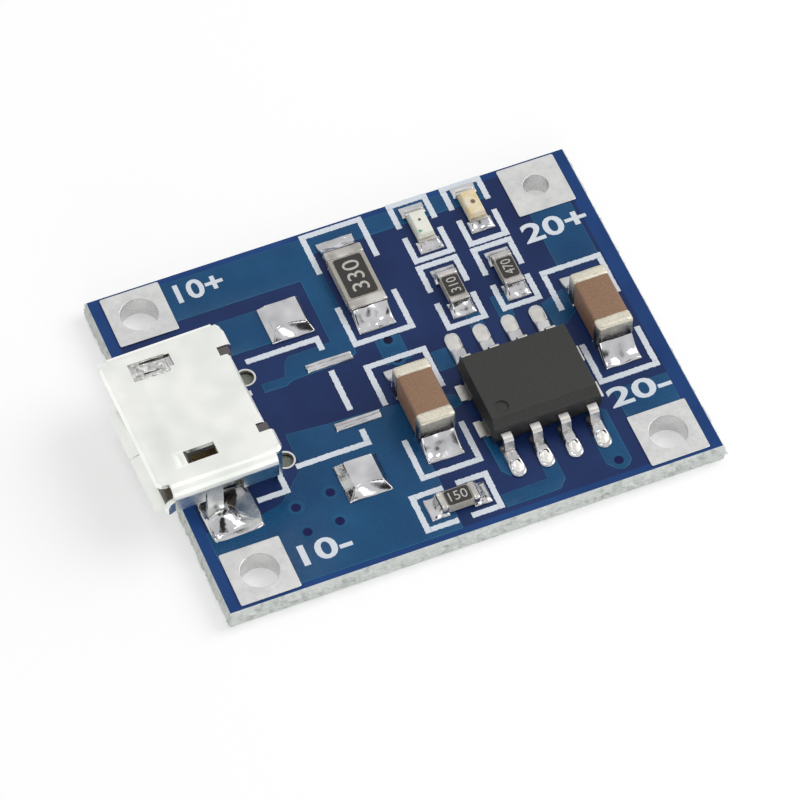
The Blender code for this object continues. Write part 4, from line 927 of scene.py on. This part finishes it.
def makeEnd(part, number, values, seed):
    # one end of a two-ended part: its metal cap, and the solder that climbs it from the pad
    core = f"{part}_core" if f"{part}_core" in nodes else f"{part}_base"
    end = f"{part}_end_{number}"
    coreLow, coreHigh = boxOf(core)
    endLow, endHigh = boxOf(end)
    middle = (coreLow + coreHigh) / 2
    axis = 1 if coreHigh.y - coreLow.y > coreHigh.x - coreLow.x else 0
    turn = (90 if axis else 0) + (0 if number == 1 else 180)
    half = (coreHigh[axis] - coreLow[axis]) / 2
    bodyHalf = (coreHigh[1 - axis] - coreLow[1 - axis]) / 2
    padHalf = (endHigh[1 - axis] - endLow[1 - axis]) / 2
    nearer, further = sorted(abs(edge[axis] - middle[axis]) for edge in (endLow, endHigh))
    top = endHigh.z - boardTop / mm
    face = half + joint["wall"]
    place = onBoard(middle.x, middle.y, turn)
    alongSteep, sideSteep = joint["steep"]
    hiddenU, hiddenV = face - joint["hidden"][0], bodyHalf - joint["hidden"][1]

    def height(u, v):
        if u < hiddenU and abs(v) < hiddenV:
            return solder["padTop"] - joint["hiddenDrop"]
        out = clamped((u - face) / (further - face))
        side = clamped((abs(v) - bodyHalf) / max(joint["least"], padHalf - bodyHalf))
        climb = values["climb"] * (1 - out) ** alongSteep * (1 - side) ** sideSteep
        if u < face:
            climb *= joint["inward"] * clamped((u - nearer) / (face - nearer))
        rim = roundedRim(min(further - u, padHalf - abs(v) + joint["rimReach"]))
        lumps = values["bulge"] * unevenness(u, v, seed, joint["perMm"][values["metal"]])
        pool = solder["film"] + climb + lumps
        return solder["padTop"] - solder["sink"] + rim * max(solder["least"], pool)

    pourSolder(f"{part}_solder_{number}", [end], place, (nearer, further), 2 * padHalf, height)
    bm = bmesh.new()
    wrap = joint["wrap"][top > joint["tall"]]
    low = solder["padTop"] - joint["hiddenDrop"]
    size = Matrix.Diagonal((face - nearer, 2 * (bodyHalf + wrap), top - low, 1))
    centre = Matrix.Translation(((face + nearer) / 2, 0, (top + low) / 2))
    bmesh.ops.create_cube(bm, size=1, matrix=centre @ size)
    bevelEdges(bm, bm.edges[:], values["edge"], joint["segments"])
    long = [edge for edge in bm.edges if edge.calc_length() > joint["longest"]]
    bmesh.ops.subdivide_edges(bm, edges=long, cuts=joint["cuts"], use_grid_fill=True)
    for vert in bm.verts:
        swell = noise.noise(Vector((*vert.co,)) * joint["swellPerMm"] + Vector((seed, 0, 0)))
        outward = Vector((vert.co.x - (face + nearer) / 2, vert.co.y, vert.co.z - top / 2))
        vert.co += joint["swell"] * swell * outward.normalized()
    bmesh.ops.transform(bm, matrix=place, verts=bm.verts)
    finish = capTin if values["metal"] == "cap" else resistorTin
    addPiece(f"{part}_cap_{number}", bm, finish, [end])


for seed, (part, values) in enumerate(ends.items()):
    for number in (1, 2):
        makeEnd(part, number, values, joint["seed"] * seed + number)
print("ends soldered")


leads = {
    "count": 8,
    "reach": (0.72, 1.04),
    "film": 0.09,
    "climb": 0.15,
    "climbOver": 0.4,
    "heel": 0.5,
    "heelOver": 0.3,
    "dimple": 0.13,
    "dimplePast": 0.13,
    "dimpleSpread": 0.012,
    "footHalf": 0.21,
    "narrowest": 0.03,
    "rim": 0.16,
    "rimReach": 0.02,
    "bulge": 0.03,
    "perMm": 3.5,
    "seed": 2.3,
}


def makeLeadSolder(number):
    low, high = boxOf(f"ic_lead_{number}")
    near = number <= leads["count"] / 2
    length = high.y - low.y
    half = (high.x - low.x) / 2
    start = high.y if near else low.y
    toe = length - leads["reach"][0 if near else 1]
    place = onBoard((low.x + high.x) / 2, start, -90 if near else 90)

    def halfWidth(u):
        inner = min(u, length - u)
        if inner >= half:
            return half
        return max(leads["narrowest"], math.sqrt(max(0.0, half ** 2 - (half - inner) ** 2)))

    def height(u, v):
        away = math.hypot(max(0.0, u - toe), max(0.0, abs(v) - leads["footHalf"]))
        rim = roundedRim(min(halfWidth(u) - abs(v), length - u, u) + leads["rimReach"], leads["rim"])
        climb = leads["climb"] * clamped(1 - away / leads["climbOver"]) ** 2
        if u < toe - leads["heel"]:
            climb *= clamped(1 - (toe - leads["heel"] - u) / leads["heelOver"])
        spread = ((u - toe - leads["dimplePast"]) ** 2 + v ** 2) / leads["dimpleSpread"]
        dent = leads["dimple"] * math.exp(-spread)
        lump = leads["bulge"] * unevenness(u, v, number * leads["seed"], leads["perMm"])
        pool = leads["film"] + climb + lump - dent
        return solder["padTop"] - solder["sink"] + rim * max(solder["least"], pool)

    name = f"lead_solder_{number}"
    pourSolder(name, [], place, (0, length), 2 * half, height, solder["fineCell"], halfWidth)


for number in range(1, leads["count"] + 1):
    makeLeadSolder(number)


pillows = {
    "height": 0.27,
    "film": 0.035,
    "bulge": 0.03,
    "perMm": 1.1,
    "bend": 0.09,
    "bends": 3.1,
    "sharpness": 14,
    "lift": 0.08,
    "ridge": 0.10,
    "ridgeWidth": 0.10,
    "highest": 1.2,
    "hollow": 1.3,
    "rim": 0.07,
    "rimReach": 0.02,
    "facets": {
        "spare_pad_far": (1.5, 0.30, 0.20, 0.14, 0.52),        # seed, then the width of each side's facet
        "spare_pad_near": (8.2, 0.42, 0.26, 0.14, 0.46),
    },
}


def makePillow(name, seed, left, right, far, near):
    # solder that froze with a flat middle and a sloping facet towards each side
    low, high = boxOf(name)
    half = (high.x - low.x) / 2
    sharp = pillows["sharpness"]

    def height(u, v):
        bend = pillows["bend"] * math.sin(pillows["bends"] * (u + v) / half)
        rises = [(half + u) / left, (half - u) / right, (half - v) / far, (half + v + bend) / near, 1.0]
        rise = -math.log(sum(math.exp(-sharp * share) for share in rises)) / sharp + pillows["lift"]
        first, second = sorted(rises)[:2]
        rise += pillows["ridge"] * math.exp(-((second - first) / pillows["ridgeWidth"]) ** 2)
        rim = roundedRim(half - max(abs(u), abs(v)) + pillows["rimReach"], pillows["rim"])
        body = pillows["height"] * clamped(rise, 0, pillows["highest"]) ** pillows["hollow"]
        lift = pillows["film"] + body + pillows["bulge"] * unevenness(u, v, seed, pillows["perMm"])
        return solder["padTop"] - solder["sink"] + rim * lift

    place = overNode(name)
    pourSolder(name + "_pillow", [name], place, (-half, half), 2 * half, height, solder["fineCell"])


bars = {
    "halfWidth": 0.22,
    "offset": 0.05,
    "beads": ((-0.08, 0.13, 0.13), (0.12, 0.09, 0.10)),        # middle, half width and height
    "cell": 0.02,
    "rim": 0.08,
    "rimReach": 0.01,
    "wander": 0.02,
    "wanderPerMm": 1.4,
    "bulge": 0.02,
    "bulgePerMm": (2.2, 6),
    "foot": 0.02,
    "seeds": {"spare_bar_far": 2.0, "spare_bar_near": 6.0},
}


def makeBar(name, seed):
    low, high = boxOf(name)
    half = (high.x - low.x) / 2
    along, across = bars["bulgePerMm"]

    def height(u, v):
        rim = roundedRim(half - abs(u) + bars["rimReach"], bars["rim"])
        wander = bars["wander"] * noise.noise(Vector((u * bars["wanderPerMm"], seed, 0)))
        beads = [
            tall * math.sqrt(max(0.0, 1 - ((v - wander - middle) / wide) ** 2))
            for middle, wide, tall in bars["beads"]
        ]
        lumps = bars["bulge"] * noise.noise(Vector((u * along, v * across, seed)))
        return bars["foot"] + rim * (max(beads) + lumps)

    place = overNode(name, y=bars["offset"])
    pourSolder(name + "_skin", [name], place, (-half, half), 2 * bars["halfWidth"], height, bars["cell"])


legs = {
    "longest": 0.12,
    "cuts": 2,
    "passes": 2,
    "smooth": 0.4,
    "bulge": 0.05,
    "bulgeFrom": 0.2,
    "perMm": 2.2,
    "seeds": {"usb_solder_near": 3.0, "usb_solder_far": 5.0},
}


def makeLegSolder(name, seed):
    # the CAD joint's own form, made uneven
    bm = weldedCopy(name)
    long = [edge for edge in bm.edges if edge.calc_length() > legs["longest"] * mm]
    bmesh.ops.subdivide_edges(bm, edges=long, cuts=legs["cuts"])
    axes = {"use_axis_x": True, "use_axis_y": True, "use_axis_z": True}
    for _ in range(legs["passes"]):
        bmesh.ops.smooth_vert(bm, verts=bm.verts, factor=legs["smooth"], **axes)
    for vert in bm.verts:
        share = clamped((vert.co.z - boardTop) / mm / legs["bulgeFrom"])
        lumps = unevenness(vert.co.x / mm, vert.co.y / mm, seed, legs["perMm"])
        vert.co += vert.normal * legs["bulge"] * mm * share * lumps
    addPiece(name + "_skin", bm, brightSolder, [name], "solder")


for name, facets in pillows["facets"].items():
    makePillow(name, *facets)
for name, seed in bars["seeds"].items():
    makeBar(name, seed)
for name, seed in legs["seeds"].items():
    makeLegSolder(name, seed)
print("pads soldered")


# Rounded pieces

rounded = {
    "terminal_in_plus": 0.02, "terminal_in_minus": 0.02,
    "terminal_bat_plus": 0.02, "terminal_bat_minus": 0.02,
    "ic_body": 0.035,
    "sense_resistor_coat": 0.012, "led_resistor_a_coat": 0.012, "led_resistor_b_coat": 0.012,
    "program_resistor_coat": 0.012,
    "charge_led_lens": 0.03, "standby_led_lens": 0.03,
    "input_capacitor_core": 0.03, "output_capacitor_core": 0.03,
    "usb_shell": 0.035,
}

for name, width in rounded.items():
    slot = slotOf[name]
    kind = "shell" if name == "usb_shell" else "rounded"
    addPiece(name + "_round", softened(name, width * mm), finishes[slot], [name], kind)


# Plain digits on the coats of the resistors

coatDigits = {
    "sense_resistor": ("330", 0.74, 1.62),
    "led_resistor_a": ("310", 0.44, 0.78),
    "led_resistor_b": ("470", 0.44, 0.78),
    "program_resistor": ("150", 0.44, 0.78),
}
coatInk = {"thickness": 0.012, "lift": 0.004}


def makeCoatDigits():
    for part, (words, tall, wide) in coatDigits.items():
        low, high = boxOf(part + "_coat")
        turn = 90 if high.y - low.y > high.x - low.x else 0
        top = high.z - boardTop / mm + coatInk["lift"]
        bm = bmesh.new()
        verts, _ = addNumber(bm, words, -wide / 2, tall / 2, wide / 2, -tall / 2)
        bmesh.ops.scale(bm, vec=(1, 1, coatInk["thickness"]), verts=verts)
        place = overNode(part + "_coat", turn=turn, height=top)
        bmesh.ops.transform(bm, matrix=place, verts=verts)
        addPiece(part + "_digits", bm, coatPrint)


makeCoatDigits()


# each has its lens, place, radius, number of sides and finish
lensMarks = {
    "corner": ("charge_led_lens", -0.22, -0.46, 0.12, 3, greenMark),
    "dieClear": ("charge_led_lens", -0.02, 0.12, 0.07, 12, dieShade),
    "dieAmber": ("standby_led_lens", 0.02, -0.02, 0.11, 12, dieShade),
}
markShape = {"turn": 30, "rise": (0.02, 0.008)}


def makeLensMarks():
    for label, (lens, x, y, radius, sides, finish) in lensMarks.items():
        top = boxOf(lens)[1].z - boardTop / mm
        bm = bmesh.new()
        face = addDisc(bm, radius, sides, overNode(lens, x, y, markShape["turn"], top))
        insetFace(bm, face, *markShape["rise"])
        addPiece("lens_" + label, bm, finish)


makeLensMarks()
print("small parts made")


# Camera, floor and light

camera = {
    "azimuth": -22.501,
    "elevation": 54.464,
    "roll": 0.222,
    "distance": 0.20945,
    "target": Vector((0, 0, 0.001)),
    "lens": 227.72,
    "nearest": 0.01,
    "photoSize": 800,
    "centrePixel": (401.618, 373.517),        # where the camera's axis meets the photo
}


def addCamera():
    azimuth = math.radians(camera["azimuth"])
    elevation = math.radians(camera["elevation"])
    level = math.cos(elevation)
    back = Vector((math.sin(azimuth) * level, -math.cos(azimuth) * level, math.sin(elevation)))
    right = Vector((0, 0, 1)).cross(back).normalized()
    up = back.cross(right)
    turn = Matrix((right, up, back)).transposed().to_4x4()
    data = bpy.data.cameras.new("photoCamera")
    data.lens = camera["lens"]
    across, down = camera["centrePixel"]
    data.shift_x = -(across - camera["photoSize"] / 2) / camera["photoSize"]
    data.shift_y = (down - camera["photoSize"] / 2) / camera["photoSize"]
    data.clip_start = camera["nearest"]
    made = bpy.data.objects.new("photoCamera", data)
    roll = Matrix.Rotation(math.radians(camera["roll"]), 4, "Z")
    made.matrix_world = Matrix.Translation(camera["target"] + back * camera["distance"]) @ turn @ roll
    bpy.context.scene.collection.objects.link(made)
    bpy.context.scene.camera = made
    return back


viewBack = addCamera()

studio = {
    "floorHalf": 3,
    "floorTone": 0.86,
    "floorGlow": 0.31,
    "worldTone": 1.05,
    "worldLight": 0.70,
    "gapTone": 0.05,
    "gapReach": (28, 13),        # degrees from the lens where the dark starts and is full
    "keyPower": 0.52,
    "keyPlace": (0.30, -0.02, 0.30),
    "keySize": 0.34,
    "sparkPower": 0.05,
    "sparkPlace": (-0.018, 0.11, 0.385),
    "sparkSize": 0.05,
    "fillPower": 0.25,
    "fillPlace": (-0.08, -0.40, 0.12),
    "fillSize": 0.30,
}


def join(tree, kind, first, second, **inputs):
    node = addNode(tree, kind, inputs)
    shaders = [socket for socket in node.inputs if socket.type == "SHADER"]
    tree.links.new(first, shaders[0])
    tree.links.new(second, shaders[1])
    return node.outputs[0]


def addFloor():
    bm = bmesh.new()
    bmesh.ops.create_grid(bm, x_segments=1, y_segments=1, size=studio["floorHalf"])
    floor = objectFrom("studioFloor", bm)
    material = bpy.data.materials.new("whiteSweep")
    material.use_nodes = True
    tree = material.node_tree
    tree.nodes.clear()
    tone = studio["floorTone"]
    diffuse = addNode(tree, "ShaderNodeBsdfDiffuse", {"Color": (tone, tone, tone, 1)})
    glow = addNode(tree, "ShaderNodeEmission", {"Strength": studio["floorGlow"]})
    black = addNode(tree, "ShaderNodeEmission", {"Strength": 0.0})
    shown = join(tree, "ShaderNodeMixShader", black.outputs[0], glow.outputs[0], Fac=lightPathShown(tree))
    total = join(tree, "ShaderNodeAddShader", diffuse.outputs[0], shown)
    addNode(tree, "ShaderNodeOutputMaterial", {"Surface": total})
    floor.data.materials.append(material)


def lightPathShown(tree):
    # 1 for the rays that see the background: camera, glossy and transmission rays
    path = addNode(tree, "ShaderNodeLightPath").outputs
    first = calculate(tree, "MAXIMUM", path["Is Camera Ray"], path["Is Glossy Ray"])
    return calculate(tree, "MAXIMUM", first, path["Is Transmission Ray"])


def addWorld():
    world = bpy.data.worlds.new("lightTent")
    world.use_nodes = True
    bpy.context.scene.world = world
    tree = world.node_tree
    tree.nodes.clear()
    # the tent has a dark opening for the lens, which bright metal mirrors
    place = addNode(tree, "ShaderNodeTexCoord").outputs["Generated"]
    towards = addNode(tree, "ShaderNodeVectorMath", {0: place, 1: tuple(viewBack)}, operation="DOT_PRODUCT")
    edges = [math.cos(math.radians(angle)) for angle in studio["gapReach"]]
    tones = (studio["worldTone"], studio["gapTone"])
    strength = remap(tree, towards.outputs["Value"], edges, tones, "SMOOTHSTEP")
    seen = addNode(tree, "ShaderNodeBackground", {"Strength": strength})
    lit = addNode(tree, "ShaderNodeBackground", {"Strength": studio["worldLight"]})
    mixed = join(tree, "ShaderNodeMixShader", lit.outputs[0], seen.outputs[0], Fac=lightPathShown(tree))
    addNode(tree, "ShaderNodeOutputWorld", {"Surface": mixed})


def addLamp(name, place, size, power):
    data = bpy.data.lights.new(name, "AREA")
    data.shape = "DISK"
    data.size = size
    data.energy = power
    lamp = bpy.data.objects.new(name, data)
    lamp.location = place
    lamp.rotation_euler = (-Vector(place)).to_track_quat("-Z", "Y").to_euler()
    bpy.context.scene.collection.objects.link(lamp)


addFloor()
addWorld()
for lamp in ("key", "spark", "fill"):
    addLamp(lamp + "Lamp", studio[lamp + "Place"], studio[lamp + "Size"], studio[lamp + "Power"])
bpy.context.scene.view_settings.view_transform = "Standard"
print("camera, floor and light set")
